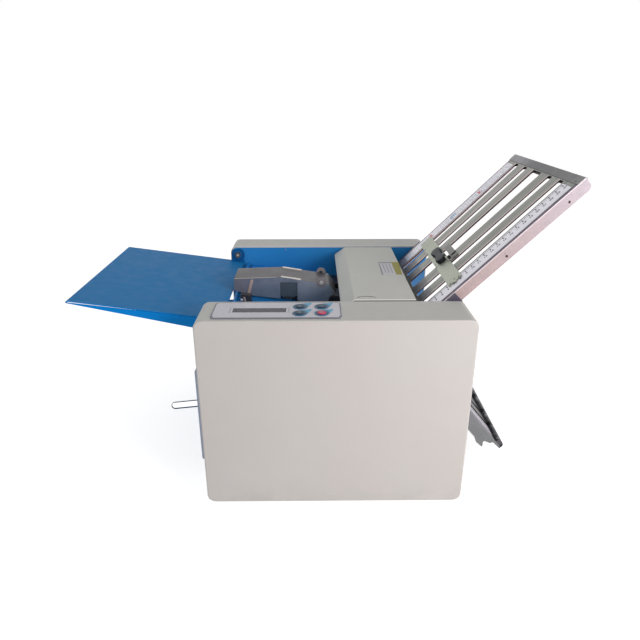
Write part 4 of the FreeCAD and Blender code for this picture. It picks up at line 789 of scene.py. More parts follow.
folded = near_fold.at_least(far_fold) * (sheet.x < at_x(107.0)) * upwards
smoky = sheet.mix(folded, smoky, chip(172, 160, 152))
clearness = wall * sheet.span(haze, 0.3, 0.7, 0.76, 0.84) + (1.0 - wall) * 0.92
dress(sheet.surface({"Base Color": smoky, "Roughness": sheet.span(haze, 0.3, 0.7, 0.3, 0.42),
                     "IOR": 1.42, "Alpha": clearness,
                     "Normal": sheet.bump(sheet.noise(1900.0, 2.0), 0.00003, 0.4)}), "feed_arm")

# %% [markdown]
# ## Two finishes in one solid
# Some solids hold two real pieces: a fold roller with its gear, or an exit shaft with
# its rubber wheels. A mask worked out from the coordinates tells them apart, and the
# same mask can mix colour, metal and roughness. The gears start beyond the far side
# plate, and a wheel is wherever the surface is far enough from its shaft's axis.

# %% Rollers with gears
def two_in_one(name, mask_of, first, second, knurl=0.0):
    """first and second are (colour, metallic, roughness); the mask picks the second."""
    both = Finish(name)
    mask = mask_of(both)
    lines = both.noise(1.0, 3.0, 0.6, both.stretched(30.0, 1800.0, 30.0))
    fine = both.noise(1500.0, 2.0)
    body = both.mix(both.span(lines, 0.3, 0.7) * 0.5, first[0], deeper(first[0], 0.75))
    other = both.mix(both.span(fine, 0.35, 0.65) * 0.5, second[0], deeper(second[0], 0.8))
    dusty = both.span(both.noise(120.0, 3.0), 0.5, 0.8) * 0.15
    skin = lines * 0.5 + fine * 0.5
    if knurl:
        skin = skin + ripple(both.y + both.x * 0.35, knurl) * 300.0
    mixed = both.mix(dusty, both.mix(mask, body, other), chip(190, 188, 184))
    return both.surface({"Base Color": mixed,
                         "Metallic": both.span(mask, 0.0, 1.0, first[1], second[1]),
                         "Roughness": both.span(mask, 0.0, 1.0, first[2], second[2]) + fine * 0.08,
                         "Normal": both.bump(skin, 0.00008, 0.4)})


gear_start = at_y(411.0)
steel = (chip(92, 94, 100), 0.8, 0.36)
nylon = (chip(226, 222, 208), 0.0, 0.45)
rubber = (chip(50, 50, 53), 0.0, 0.72)


def beyond_plate(finish):
    return finish.y > gear_start


roller_finish = two_in_one("ground_roller_and_gear", beyond_plate, steel, nylon, 0.0012)
dress(roller_finish, "fold_roller_top", "fold_roller_middle", "fold_roller_first")
dress(moulded("natural_nylon", nylon[0], 0.45, 1500.0, 0.00004, 0.05), "drive_gears",
      "motor_pinion")

# %% [markdown]
# The exit shafts carry rubber wheels. Their axes are the middle of each piece's box,
# and everything beyond the shaft's own radius is rubber.

# %% Exit shafts with rubber wheels
SHAFT_RADIUS = 0.0065


def wheel_mask(centre_x, centre_z):
    def mask(finish):
        across = finish.x - centre_x
        height = finish.z - centre_z
        return (across * across + height * height) > SHAFT_RADIUS ** 2
    return mask


for name in ("exit_roller_lower", "exit_roller_upper"):
    low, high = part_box(name)
    middle = (low + high) / 2
    dress(two_in_one(name + "_finish", wheel_mask(middle.x, middle.z), steel, rubber), name)

# %% [markdown]
# Sintered bronze bushes are full of tiny pores that hold oil, so they are speckled.

# %% Bushes
bush = Finish("oiled_bronze")
pore = bush.noise(2100.0, 2.0)
bronze_colour = bush.mix(bush.span(pore, 0.4, 0.6), chip(168, 132, 78), chip(120, 90, 50))
dress(bush.surface({"Base Color": bronze_colour, "Metallic": 1.0,
                    "Roughness": bush.span(pore, 0.3, 0.7, 0.3, 0.5),
                    "Normal": bush.bump(pore, 0.00004, 0.5)}), "roller_bushes")

# %% [markdown]
# ## The control panel
# The panel is a pale film with a dark printed border and a bracket round the display.
# A printed line is flat, so it belongs in the finish: the film's colour is mixed with
# the ink's wherever the distance from the panel's edge is right. Along the front side
# painted shade widens the border, and the film's front edge is painted shade as well.

# %% Panel film
panel_low, panel_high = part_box("control_panel")
film = Finish("panel_film")
half_x = (panel_high.x - panel_low.x) / 2
half_y = (panel_high.y - panel_low.y) / 2
PANEL_CORNER = 0.006
out_x = abs(film.x - (panel_low.x + half_x)) - (half_x - PANEL_CORNER)
out_y = abs(film.y - (panel_low.y + half_y)) - (half_y - PANEL_CORNER)
edge = distance(out_x.at_least(0.0), out_y.at_least(0.0)) + out_x.at_least(out_y).at_most(0.0)
# Printed border; along the front side painted shade widens it.
front_shade_side = film.y < panel_low.y + 0.010
border = film.step(edge + front_shade_side * 0.0018, 0.0040, 0.0076) * (edge < 0.0058)
glass_low, glass_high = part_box("display_window")
glass_x = abs(film.x - (glass_low.x + glass_high.x) / 2)
glass_y = abs(film.y - (glass_low.y + glass_high.y) / 2)
bracket = film.step(glass_x, 0.0432, 0.0440) * (glass_y < 0.0095)
bracket = bracket + film.step(glass_y, 0.0088, 0.0095) * film.step(glass_x, 0.0412, 0.0440)
ink = (border + bracket).at_most(1.0)
haze = film.noise(30.0, 3.0)
speck = film.noise(1900.0, 2.0)
film_colour = film.mix(film.span(haze, 0.3, 0.7), chip(200, 199, 209), chip(194, 193, 204))
film_colour = film.mix(film.hairlines(0.005, 26.0, 90.0) * 0.4, film_colour, chip(236, 236, 240))
film_colour = film.mix(ink * film.span(speck, 0.1, 0.4, 0.8, 1.0), film_colour, chip(78, 82, 96))
# Painted shade on the film's front edge.
film_colour = film.mix(film.facing()[1] < -0.7, film_colour, chip(112, 114, 128))
dress(film.surface({"Base Color": film_colour, "IOR": 1.5,
                    "Roughness": film.span(haze, 0.3, 0.7, 0.26, 0.36),
                    "Normal": film.bump(speck * 0.5 + ink, 0.00003, 0.5)}), "control_panel")

# %% [markdown]
# The display shows through a smoked window. The module under it has a grey face with
# two rows of sixteen faint cells, and a green board round it, so that one solid gets
# its two finishes from its height.

# %% Display window and module
window = Finish("smoked_window")
smear = window.noise(60.0, 4.0)
window_colour = window.mix(window.span(smear, 0.4, 0.8), chip(62, 62, 76), chip(76, 76, 90))
dress(window.surface({"Base Color": window_colour, "IOR": 1.49, "Specular IOR Level": 0.35,
                      "Roughness": window.span(smear, 0.3, 0.7, 0.1, 0.2),
                      "Alpha": window.span(smear, 0.3, 0.7, 0.62, 0.7),
                      "Normal": window.bump(smear, 0.00002, 0.3)}), "display_window")

board_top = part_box("control_board")[1].z
board = Finish("control_board_and_display")
pitch = 0.00254
track_x = ripple(board.x, pitch / 2) < pitch * 0.13
track_y = ripple(board.y, pitch / 2) < pitch * 0.13
route = (board.noise(55.0, 1.0) > 0.52) * track_x + (board.noise(48.0, 1.0) < 0.46) * track_y
route = route.at_most(1.0)
lacquer = board.mix(route, chip(16, 84, 46), chip(44, 132, 74))
cells = (ripple(board.x, 0.0021) > 0.0004) * (ripple(board.y, 0.0032) > 0.0005)
cells = cells * board.step(board.y, glass_low.y + 0.003, glass_high.y - 0.003)
cells = cells * board.span(board.noise(300.0, 2.0), 0.3, 0.7, 0.3, 0.5)
face = board.mix(cells, chip(104, 106, 118), chip(82, 84, 96))
above_board = board.z > board_top - 0.001
dress(board.surface({"Base Color": board.mix(above_board, lacquer, face),
                     "Roughness": board.span(board.noise(90.0, 3.0), 0.3, 0.7, 0.26, 0.4),
                     "Normal": board.bump(route * (1.0 - above_board), 0.00004, 0.6),
                     "IOR": 1.5}), "control_board")

# %% [markdown]
# Each button sits in a glossy teal drop: dark round the button, with painted shade at
# the button's edge, and a painted highlight towards its tail. The distance from the
# nearest button centre gives that fade, so the finish needs the four places only.

# %% Teal drops
drops = Finish("glossy_teal_drops")
button_places = [(152.2, 26.0), (184.4, 26.0), (152.2, 52.8), (184.4, 52.8)]
near_button = None
for x, y in button_places:
    away = distance(drops.x - at_x(x), drops.y - at_y(y))
    near_button = away if near_button is None else near_button.at_most(away)
streak = drops.noise(160.0, 2.0)
# Painted highlight towards each drop's tail.
fade = drops.span(near_button + streak * 0.002, 0.0102, 0.0160)
teal = drops.mix(fade, chip(18, 80, 118), chip(74, 164, 200))
rim_shade = drops.span(near_button, 0.0075, 0.0092, 1.0, 0.0) * 0.6
teal = drops.mix(rim_shade, teal, chip(10, 42, 76))
dress(drops.surface({"Base Color": teal, "IOR": 1.5, "Specular IOR Level": 0.2,
                     "Coat Weight": 0.05, "Roughness": drops.span(streak, 0.3, 0.7, 0.24, 0.34),
                     "Normal": drops.bump(streak, 0.00003, 0.3)}), "button_rings")

# %% [markdown]
# ## Scales on the fold plates
# The rulers are pale printed strips. Here they get their base: a faint lilac with a
# thin line along each edge. The ticks and numbers are pieces of their own, below.

# %% Ruler strips
def ruler_strip(name):
    strip = Finish(name)
    lines = []
    for slope in slopes.values():
        down, across, above = strip.down_plate(slope)
        side = abs(abs(across) - 0.1324)
        lines.append(strip.step(side, 0.0148, 0.0152) * strip.step(above, -0.002, 0.004))
    edge_lines = any_of(lines)
    cloud = strip.noise(26.0, 3.0)
    fine = strip.noise(1700.0, 2.0)
    body = strip.mix(strip.span(cloud, 0.35, 0.7), chip(248, 246, 254), chip(238, 236, 247))
    body = strip.mix(strip.z < 0.3, body, chip(176, 172, 184))
    body = strip.mix(strip.hairlines(0.006, 30.0, 110.0) * 0.5, body, chip(176, 174, 184))
    body = strip.mix(edge_lines * 0.8, body, chip(96, 92, 110))
    return strip.surface({"Base Color": body, "Metallic": 0.3, "IOR": 1.5,
                          "Roughness": strip.span(fine, 0.3, 0.7, 0.32, 0.44),
                          "Normal": strip.bump(fine + edge_lines, 0.00003, 0.4)})


dress(ruler_strip("pale_ruler_strip"), "fold_rulers")

# %% [markdown]
# ## A bench for new pieces
# Small details are made as meshes here. The `Workpiece` below gathers faces in one
# bmesh: it can lay a flat outline and give it thickness with an eased edge, or turn a
# profile on a lathe. When a piece is done it is smoothed, given its finish, and told
# which moving body of the machine it rides on.

# %% Workpiece
class Workpiece:
    """A piece of mesh in the making, in scene metres."""

    def __init__(self):
        self.mesh = bmesh.new()

    def slab(self, outline, low, high, place, edge=0.0, foot=0.0, steps=4):
        """An outline of (a, b) pairs from height low to high, with rounded edges."""
        turns = [math.pi / 2 * step / steps for step in range(steps + 1)]
        rings = [(foot * (1 - math.sin(turn)), low + foot * (1 - math.cos(turn)))
                 for turn in turns if foot] or [(0.0, low)]
        rings += [(edge * (1 - math.cos(turn)), high - edge + edge * math.sin(turn))
                  for turn in turns if edge] or [(0.0, high)]
        loops = []
        for inset, height in rings:
            loops.append([self.mesh.verts.new(place(a, b, height)) for a, b in shrunk(outline, inset)])
        return self.skin(loops)

    def turned(self, profile, place, steps=32):
        """A profile of (radius, height) pairs, turned round the axis a = b = 0."""
        loops = []
        for radius, height in profile:
            ring = []
            for step in range(steps):
                turn = 2 * math.pi * step / steps
                point = place(radius * math.cos(turn), radius * math.sin(turn), height)
                ring.append(self.mesh.verts.new(point))
            loops.append(ring)
        return self.skin(loops)

    def skin(self, loops):
        faces = []
        for lower, upper in zip(loops, loops[1:]):
            for i in range(len(lower)):
                j = (i + 1) % len(lower)
                faces.append(self.mesh.faces.new((lower[i], lower[j], upper[j], upper[i])))
        faces.append(self.mesh.faces.new(loops[0][::-1]))
        faces.append(self.mesh.faces.new(loops[-1]))
        return faces

    def finish(self, name, material, body, slot, replaces=(), angle=32.0):
        bmesh.ops.recalc_face_normals(self.mesh, faces=self.mesh.faces)
        mesh = bpy.data.meshes.new(name)
        self.mesh.to_mesh(mesh)
        self.mesh.free()
        mesh.shade_smooth()
        mesh.set_sharp_from_angle(angle=math.radians(angle))
        mesh.materials.append(material)
        piece = bpy.data.objects.new(name, mesh)
        scene.collection.objects.link(piece)
        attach(piece, body)
        if replaces:
            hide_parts(*replaces)
        print(name, "faces:", len(mesh.polygons), "rides on", body)
        return piece


def shrunk(outline, inset):
    """The outline moved inwards by inset, for an eased edge."""
    if inset == 0.0:
        return outline
    moved = []
    count = len(outline)
    for i in range(count):
        before, here, after = outline[i - 1], outline[i], outline[(i + 1) % count]
        first = Vector((here[0] - before[0], here[1] - before[1])).normalized()
        second = Vector((after[0] - here[0], after[1] - here[1])).normalized()
        normal = Vector((-first.y - second.y, first.x + second.x))
        share = max(0.35, normal.length_squared / 4)
        step = normal / 2 / share * inset
        moved.append((here[0] + step.x, here[1] + step.y))
    return moved


square_run = shrunk([(0, 0), (4, 0), (4, 2), (0, 2)], 0.5)
print("a 4 by 2 outline moved in by a half:", square_run)

# %% [markdown]
# ## Ticks and numbers
# A scale is many equal strokes, so it is one loop. Numbers are written with Blender's
# built-in font, turned into flat mesh and laid on the strip. All of it lies a twentieth
# of a millimetre above the strip, so it never flickers against it. The ink comes first.

# %% Printing ink
def ink_of(name, colour):
    ink = Finish(name)
    body = ink.mix(ink.span(ink.noise(700.0, 2.0), 0.35, 0.7), colour, deeper(colour, 1.5))
    return ink.surface({"Base Color": body,
                        "Roughness": ink.span(ink.noise(90.0, 2.0), 0.3, 0.7, 0.35, 0.5),
                        "Normal": ink.bump(ink.noise(1500.0, 2.0), 0.00002, 0.3)})


black_ink = ink_of("scale_ink", chip(44, 42, 62))
faint_ink = ink_of("faint_scale_ink", chip(170, 174, 186))
sign_ink = ink_of("sign_ink", chip(112, 126, 138))
red_ink = ink_of("red_ink", chip(206, 70, 84))
blue_ink = ink_of("blue_ink", chip(70, 146, 190))
white_ink = ink_of("white_ink", chip(226, 228, 230))
print("inks:", [ink.name for ink in (black_ink, faint_ink, sign_ink, red_ink, blue_ink, white_ink)])

# %% [markdown]
# A number starts as a text curve, becomes a mesh and joins the workpiece. A stroke is
# one face with four corners.

# %% Numbers and strokes as mesh
INK_HEIGHT = 1.05


def written(work, text, size, place):
    """Adds text to a workpiece as flat faces; place maps (right, up) in mm."""
    curve = bpy.data.curves.new("numbers", "FONT")
    curve.body = text
    curve.size = size
    curve.offset = size * 0.035
    curve.align_x = "CENTER"
    curve.align_y = "CENTER"
    curve.resolution_u = 3
    holder = bpy.data.objects.new("numbers", curve)
    flat = bpy.data.meshes.new_from_object(holder)
    start = len(work.mesh.verts)
    work.mesh.from_mesh(flat)
    work.mesh.verts.ensure_lookup_table()
    for vertex in work.mesh.verts[start:]:
        vertex.co = place(vertex.co.x, vertex.co.y)
    bpy.data.objects.remove(holder)
    bpy.data.curves.remove(curve)
    bpy.data.meshes.remove(flat)


def stroke(work, slope, u, v, half_u, half_v, above=INK_HEIGHT):
    """One flat ink mark on a fold plate's ruler."""
    corners = [(u - half_u, v - half_v), (u + half_u, v - half_v),
               (u + half_u, v + half_v), (u - half_u, v + half_v)]
    work.mesh.faces.new([work.mesh.verts.new(slope(a, b, above)) for a, b in corners])


# %% [markdown]
# The near ruler has bold ticks and large numbers, the far one faint lines and small
# numbers. The numbers grow from the foot of the plate, where the sheet comes in.

# %% Scales
FIRST_TICK = 24.3
LAST_TICK_ROOM = 39.0
NUMBER_PITCH = 12.65
TICK_PITCH = NUMBER_PITCH / 5
NEAR_EDGE = 118.6
NEAR_NUMBERS = 132.6
FAR_MIDDLE = -134.0
FAR_NUMBERS = -124.0
for label, slope in slopes.items():
    work = Workpiece()
    faint = Workpiece()
    for index in range(int((slope.length - LAST_TICK_ROOM) / TICK_PITCH)):
        u = FIRST_TICK + TICK_PITCH * index
        major = index % 5 == 0
        reach = 4.4 if major else 1.8
        stroke(work, slope, u, NEAR_EDGE + reach, 0.8 if major else 0.42, reach)
        if index % 5 in (0, 2, 3):
            stroke(faint, slope, u, FAR_MIDDLE, 0.35, 12.0 if major else 7.0)
        if major:
            number = str(int((slope.length - u) / NUMBER_PITCH) + 1)
            written(work, number, 7.0,
                    lambda a, b: slope(u - a, NEAR_NUMBERS - b, INK_HEIGHT))
            written(faint, number, 5.4,
                    lambda a, b: slope(u + 5.0 - a, FAR_NUMBERS - b, INK_HEIGHT + 0.01))
    work.finish(label + "_scale_marks", black_ink, "frame", "ruler_plate")
    faint.finish(label + "_far_scale_marks", faint_ink, "frame", "ruler_plate")

# %% [markdown]
# The upper far ruler has a few plain coloured marks. Each is a place down and across
# the plate and its two half sizes.

# %% Coloured marks
red_marks = ((98.5, -134.0, 2.4, 4.4), (97.0, -126.0, 3.4, 2.0),
             (222.0, -136.0, 2.0, 6.0), (220.0, -128.0, 3.6, 2.2))
blue_marks = ((158.5, -135.0, 0.9, 8.0), (162.5, -135.0, 0.9, 8.0),
              (166.5, -135.0, 0.9, 8.0), (170.0, -131.0, 0.9, 5.0))
for name, ink, marks in (("red_scale_marks", red_ink, red_marks),
                         ("blue_scale_marks", blue_ink, blue_marks)):
    work = Workpiece()
    for mark in marks:
        stroke(work, slopes["upper"], *mark, INK_HEIGHT + 0.04)
    work.finish(name, ink, "frame", "ruler_plate")

# %% [markdown]
# ## Lock knobs
# The stop is held by a wing-shaped knob: two round lobes with a waist between them,
# soft along its edges, on a turned neck and a threaded stud. The outline is one
# closed curve, so a rounded slab gives the whole wing in one skin.

# %% Wing knobs
STOP_TOP = 3.3
CLAMP_FOOT = -5.1
LOBE = 10.0
SPREAD = 21.0
WAIST_END = 16.0
WAIST = 5.4
SWELL = 3.26
KNOB_BACK = 3.5
KNOB_THICKNESS = 7.6


def wing_outline():
    """A waist that swells smoothly into two round lobes."""
    def half_width(b):
        if abs(b) < WAIST_END:
            return WAIST + SWELL * math.sin(math.pi / 2 * abs(b) / WAIST_END) ** 2
        return math.sqrt(max(0.0, LOBE ** 2 - (abs(b) - SPREAD) ** 2))
    inner = [-WAIST_END + 2 * WAIST_END * i / 16 for i in range(17)]
    tips = [SPREAD - LOBE * math.cos(math.radians(63 + 6.5 * i)) for i in range(18)]
    stations = [-b for b in reversed(tips)] + inner + tips
    right = [(half_width(b), b) for b in stations]
    left = [(-a, b) for a, b in reversed(right)]
    return [point for point in right + left if abs(point[0]) > 0.05]


def threaded(start, end, radius, pitch):
    """The profile of a screw thread, as rings of (radius, height)."""
    profile = [(radius * 0.7, start)]
    turns = int((end - start) / pitch)
    for index in range(turns):
        profile += [(radius, start + pitch * (index + 0.3)),
                    (radius * 0.82, start + pitch * (index + 0.8))]
    return profile + [(radius * 0.7, end)]


for label, slope in slopes.items():
    def on_plate(a, b, height):
        return slope(slope.stop_at - KNOB_BACK + a, b, height)
    work = Workpiece()
    base = STOP_TOP + 0.6
    top = base + KNOB_THICKNESS
    work.slab(wing_outline(), base, top, on_plate, 2.2, 0.8, 5)
    work.turned([(6.4, STOP_TOP + 0.3), (7.0, STOP_TOP + 0.5), (7.0, base + 0.4)], on_plate, 40)
    work.turned([(3.4, top - 0.2), (3.4, top - 0.05), (2.9, top - 0.05), (2.7, top - 0.1)],
                on_plate, 24)
    work.turned(threaded(CLAMP_FOOT, STOP_TOP + 0.4, 3.0, 0.8), on_plate, 20)
    work.finish(label + "_wing_knob", knob_moulding, label + "_lock_knob", "knob_plastic",
                [label + "_lock_knob"], 40.0)

# %% [markdown]
# The fine screw runs along the plate between two lugs. A real thread is a helix, but
# at this size a stack of V-shaped rings looks the same from every side and stays
# light. Its nut is knurled: an outline with forty small teeth.

# %% Fine screws
FINE_SCREW_V = 40.0
FINE_SCREW_W = 6.3
for label, slope in slopes.items():
    start = slope.stop_at - 31.0
    bar_edge = slope.stop_at - 13.5

    def along_plate(a, b, height):
        return slope(height, FINE_SCREW_V + a, FINE_SCREW_W + b)
    work = Workpiece()
    work.turned(threaded(start, bar_edge + 2.4, 1.6, 0.6), along_plate, 16)
    teeth = [(3.6 if index % 2 else 3.3) for index in range(80)]
    knurl = [(r * math.cos(math.tau * i / 80), r * math.sin(math.tau * i / 80))
             for i, r in enumerate(teeth)]
    work.slab(knurl, bar_edge - 4.9, bar_edge - 0.3, along_plate, 0.5, 0.5, 2)
    work.finish(label + "_knurled_screw", black_moulding, label + "_fine_screw", "bright_steel",
                [label + "_fine_screw"], 24.0)

# %% [markdown]
# ## Screws
# Small button-head screws hold the moving bars and the plates. Each is a turned dome
# with a hexagon sunk in it: the dome is a ring of faces that ends at the socket's rim,
# and the socket is a six-sided well.

# %% Button-head screws
def button_screw(work, radius, height, place):
    socket = radius * 0.42
    profile = [(radius * 0.92, 0.0), (radius, height * 0.2), (radius * 0.93, height * 0.55),
               (radius * 0.74, height * 0.85), (socket * 1.25, height)]
    steps = 24
    rings = []
    for ring_radius, ring_height in profile:
        rings.append([(ring_radius * math.cos(math.tau * i / steps),
                       ring_radius * math.sin(math.tau * i / steps), ring_height)
                      for i in range(steps)])
    for depth in (height, height * 0.35):
        rim = []
        for i in range(steps):
            turn = math.tau * i / steps
            flat = math.cos(math.pi / 6) / math.cos((turn % (math.pi / 3)) - math.pi / 6)
            rim.append((socket * flat * math.cos(turn), socket * flat * math.sin(turn), depth))
        rings.append(rim)
    work.skin([[work.mesh.verts.new(place(*point)) for point in ring] for ring in rings])


STOP_SCREWS = ((-1.0, 122.5), (8.8, 126.3), (-8.9, 125.8), (12.0, 29.5), (11.6, 15.0),
               (11.8, -57.0), (11.4, -86.6))
PLATE_SCREW_Z = 30.0
for label, slope in slopes.items():
    work = Workpiece()
    for u, v in STOP_SCREWS:
        button_screw(work, 1.3, 0.45,
                     lambda a, b, h: slope(slope.stop_at + u + a, v + b, STOP_TOP + h))
    work.finish(label + "_stop_screws", black_moulding, label + "_stop", "black_plastic",
                angle=28.0)

work = Workpiece()
button_screw(work, 2.4, 1.2, lambda a, b, h: machine(114.0 + a, FAR_INNER - h, 312.6 - b))
painted = moulded("painted_over_screw", chip(84, 146, 198), 0.4, 900.0, 0.00004, 0.0)
work.finish("painted_screw", painted, "frame", "blue_paint", angle=28.0)
work = Workpiece()
for x in (60.0, 350.0):
    button_screw(work, 3.4, 1.8,
                 lambda a, b, h: machine(x + a, FAR_INNER - h, PLATE_SCREW_Z - b))
    button_screw(work, 3.4, 1.8,
                 lambda a, b, h: machine(x + a, NEAR_INNER + h, PLATE_SCREW_Z + b))
work.finish("plate_screws", bright_steel, "frame", "bright_steel", angle=28.0)

# %% [markdown]
# The upper plate's rails have two drillings each, and a set screw sits flush in every
# one, with painted shade in its socket. The arm carries a thin brownish leaf on its near
# wall, and the sheet sensor a tongue of the same sheet and a white lens.

# %% Set screws, leaf, tongue and lens
ARM_NEAR_WALL = 211.95
SENSOR_NEAR_FACE = 184.0
rail_low, rail_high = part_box("upper_rails")
work = Workpiece()
for face_y, way in ((rail_low.y, 1), (rail_high.y, -1)):
    for u in RAIL_HOLES:
        def in_rail(a, b, depth):
            spot = slopes["upper"](u + a, 0.0, HOLE_LINE + b)
            return Vector((spot.x, face_y + way * depth / 1000, spot.z))
        work.turned([(2.46, 1.95), (2.46, 0.15), (2.36, 0.05), (1.3, 0.05), (1.2, 1.2)],
                    in_rail, 24)
work.finish("rail_set_screws", upper_rail_metal, "frame", "rail_metal", angle=28.0)

work = Workpiece()
leaf_line = [(64.0, 311.0), (61.0, 300.0), (58.0, 289.0), (55.6, 282.0)]
front = [(x - 2.5, z) for x, z in leaf_line]
back = [(x + 2.5, z + 0.6) for x, z in reversed(leaf_line)]
work.slab(front + back, 0.0, 0.5, lambda a, b, h: machine(a, ARM_NEAR_WALL + h, b),
          0.15, 0.15, 2)
leaf_finish = moulded("brownish_leaf", chip(192, 168, 156), 0.4, 1200.0, 0.00004, 0.0)
work.finish("arm_leaf", leaf_finish, "feed_arm", "grey_plastic")

work = Workpiece()
work.turned([(1.9, 0.0), (1.9, 0.5), (1.5, 0.85), (0.8, 1.0)],
            lambda a, b, h: machine(48.2 + a, SENSOR_NEAR_FACE - h, 284.0 + b), 24)
tongue = Workpiece()
tongue.slab([(50.6, 289.0), (52.5, 280.6), (55.8, 280.6), (54.0, 289.0)], 0.0, 0.5,
            lambda a, b, h: machine(a, SENSOR_NEAR_FACE - 0.6 + h, b), 0.15, 0.15, 2)
tongue.finish("sensor_tongue", leaf_finish, "frame", "grey_plastic")
lens_finish = moulded("white_lens", chip(236, 238, 240), 0.2, 1200.0, 0.00002, 0.0, 0.3)
work.finish("sensor_lens", lens_finish, "frame", "grey_plastic")

# %% [markdown]
# ## Signs on the controls
# The buttons and the mains switch carry plain generic signs: plus, minus, a triangle,
# a square, a bar and a ring. Each rides on its own button, so it goes down with it.

# %% Signs
def flat_sign(name, ink, body, slot, polygons, place):
    work = Workpiece()
    for polygon in polygons:
        work.mesh.faces.new([work.mesh.verts.new(place(a, b)) for a, b in polygon])
    work.finish(name, ink, body, slot)


bar = [(-2.6, -0.5), (2.6, -0.5), (2.6, 0.5), (-2.6, 0.5)]
cross = [(-0.5, -2.6), (0.5, -2.6), (0.5, -0.5), (2.6, -0.5), (2.6, 0.5), (0.5, 0.5),
         (0.5, 2.6), (-0.5, 2.6), (-0.5, 0.5), (-2.6, 0.5), (-2.6, -0.5), (-0.5, -0.5)]
triangle = [(-1.7, -2.3), (2.5, 0.0), (-1.7, 2.3)]
square = [(-1.9, -1.9), (1.9, -1.9), (1.9, 1.9), (-1.9, 1.9)]
signs = {"button_plus": cross, "button_stop": square, "button_start": triangle, "button_minus": bar}
for (name, shape), (x, y) in zip(signs.items(), button_places):
    flat_sign(name + "_sign", sign_ink, name, "grey_plastic", [shape],
              lambda a, b: machine(x + a, y + b, BUTTON_TOP))


def on_rocker(side):
    """The rocker's two faces slope outwards from its middle, one above the other."""
    def place(a, b):
        from_middle = 6.6 + b
        slope_out = 3.4 * (from_middle / 12.5)
        return machine(308.0 - a, 475.5 + slope_out + 0.1, 62.0 + side * from_middle)
    return place


ring = [[(r * math.cos(math.tau * (i + j) / 24), r * math.sin(math.tau * (i + j) / 24))
         for r, j in ((2.2, 0), (2.2, 1), (1.5, 1), (1.5, 0))] for i in range(24)]
upright = [(-0.4, -2.2), (0.4, -2.2), (0.4, 2.2), (-0.4, 2.2)]
for name, shape, side in (("rocker_on_sign", [upright], 1), ("rocker_off_sign", ring, -1)):
    flat_sign(name, white_ink, "switch_rocker", "black_plastic", shape, on_rocker(side))

# %% [markdown]
# The cover carries a small sticker. Its print is left out: it is a plain pale block
# with thin rules and a mustard end, a tenth of a millimetre thick.

# %% Cover sticker
sticker = Finish("plain_sticker")
corner = machine(296.0, 216.4, 0)
down_label = sticker.y - corner.y
rules = (ripple(sticker.x - corner.x, 0.0030) < 0.0007) * sticker.step(down_label, 0.012, 0.070)
rules = rules * (sticker.x < at_x(316.0))
mustard = sticker.x > at_x(319.5)
grainy = sticker.noise(900.0, 2.0)
paper = sticker.mix(sticker.span(grainy, 0.3, 0.7), chip(206, 206, 210), chip(196, 196, 202))
paper = sticker.mix(rules * 0.75, paper, chip(104, 104, 130))
frame_line = (sticker.x < at_x(296.2)).at_least(sticker.y > at_y(290.0))
paper = sticker.mix(frame_line * 0.75, paper, chip(112, 112, 120))
mustard_tone = sticker.mix(sticker.span(grainy, 0.3, 0.7), chip(152, 142, 26), chip(138, 128, 40))
paper = sticker.mix(mustard, paper, mustard_tone)
sticker_finish = sticker.surface({"Base Color": paper, "Specular IOR Level": 0.2,
                                  "Roughness": sticker.span(grainy, 0.3, 0.7, 0.4, 0.5),
                                  "Normal": sticker.bump(grainy, 0.00002, 0.3)})
work = Workpiece()
work.slab([(293.4, 216.0), (330.0, 218.4), (334.0, 296.0), (295.4, 296.5)], 0.0, 0.1,
          lambda a, b, h: machine(a, b, COVER_TOP + h))
work.finish("cover_sticker", sticker_finish, "top_cover", "cover_paint")

# %% [markdown]
# ## The studio
# The floor and the backdrop are white to the camera and in reflections, through Light
# Path, but to the lamps they are an ordinary pale surface. So the picture gets its
# white ground, the floor keeps the machine's shadow, and no extra light falls on the
# paint. The floor comes first.

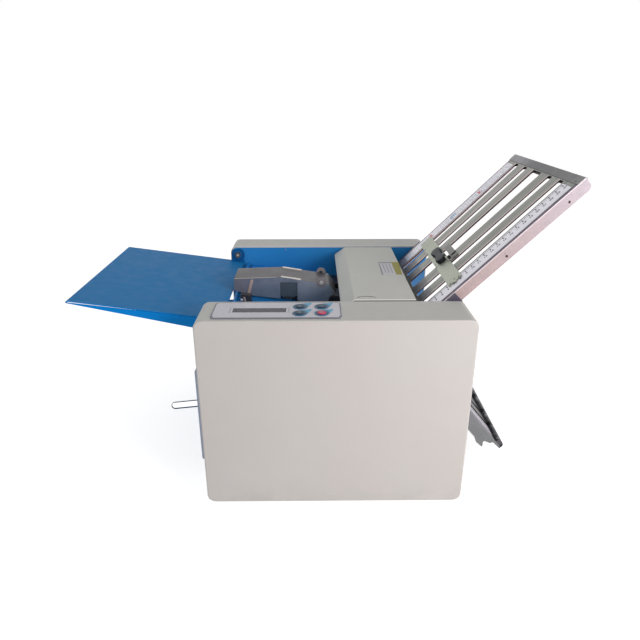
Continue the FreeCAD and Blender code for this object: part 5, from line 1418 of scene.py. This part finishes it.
# %% Floor
floor_mesh = bmesh.new()
bmesh.ops.create_grid(floor_mesh, x_segments=8, y_segments=8, size=10.0)
flat = bpy.data.meshes.new("studio_floor")
floor_mesh.to_mesh(flat)
floor_mesh.free()
floor = bpy.data.objects.new("studio_floor", flat)
scene.collection.objects.link(floor)
floor.location.z = -0.0001
paper_floor = Finish("paper_floor")
path = paper_floor.add("LightPath", {}, {}, output="Is Camera Ray")
seen = path.at_least(path.other("Is Glossy Ray")).at_least(path.other("Is Transmission Ray"))
fibre = paper_floor.noise(300.0, 3.0)
floor_colour = paper_floor.mix(paper_floor.span(fibre, 0.3, 0.7), chip(228, 228, 228),
                               chip(232, 232, 232))
print("the floor is", floor.dimensions.x, "m wide")
flat.materials.append(paper_floor.surface({
    "Base Color": floor_colour, "Roughness": 0.9, "Emission Color": (1.0, 1.0, 1.0, 1.0),
    "Emission Strength": seen * 0.66, "Normal": paper_floor.bump(fibre, 0.0001, 0.1)}))

# %% [markdown]
# The world is pure white to the camera, to reflections and through clear sheet. On
# everything else it shines with less than half of that.

# %% World
SOFT_LIGHT = 0.4
world = bpy.data.worlds.new("studio")
scene.world = world
world.use_nodes = True
tree = world.node_tree
tree.nodes.clear()
rays, mirrored, seen_rays, level, back, output = [
    tree.nodes.new("ShaderNode" + kind)
    for kind in ("LightPath", "Math", "Math", "MapRange", "Background", "OutputWorld")]
mirrored.operation = seen_rays.operation = "MAXIMUM"
level.inputs["To Min"].default_value = SOFT_LIGHT
back.inputs["Color"].default_value = (1.0, 1.0, 1.0, 1.0)
for wire_end, socket in ((rays.outputs["Is Camera Ray"], seen_rays.inputs[0]),
                         (rays.outputs["Is Glossy Ray"], mirrored.inputs[0]),
                         (rays.outputs["Is Transmission Ray"], mirrored.inputs[1]),
                         (mirrored.outputs[0], seen_rays.inputs[1]),
                         (seen_rays.outputs[0], level.inputs["Value"]),
                         (level.outputs[0], back.inputs["Strength"]),
                         (back.outputs[0], output.inputs["Surface"])):
    tree.links.new(wire_end, socket)
print("world nodes:", len(tree.nodes), "light on the machine:", SOFT_LIGHT)

# %% [markdown]
# One soft lamp stands at the operator's right, where the photograph's light comes
# from. A smaller one, high on the left, shines along the cover and the housings' tops.

# %% Lamps
def lamp(name, place, target, size, power, colour):
    light = bpy.data.lights.new(name, "AREA")
    light.shape = "DISK"
    light.size = size
    light.energy = power
    light.color = colour
    holder = bpy.data.objects.new(name, light)
    scene.collection.objects.link(holder)
    holder.location = place
    holder.rotation_mode = "QUATERNION"
    holder.rotation_quaternion = (Vector(target) - Vector(place)).to_track_quat("-Z", "Y")
    return holder


lamp("key_lamp", (1.12, -1.3, 0.68), (0.0, 0.0, 0.2), 0.7, 17.6, (1.0, 0.92, 0.92))
lamp("cover_lamp", (-2.4, 0.2, 1.5), (0.1, 0.0, 0.3), 0.5, 12.0, (0.97, 1.0, 0.95))
scene.view_settings.view_transform = "Standard"
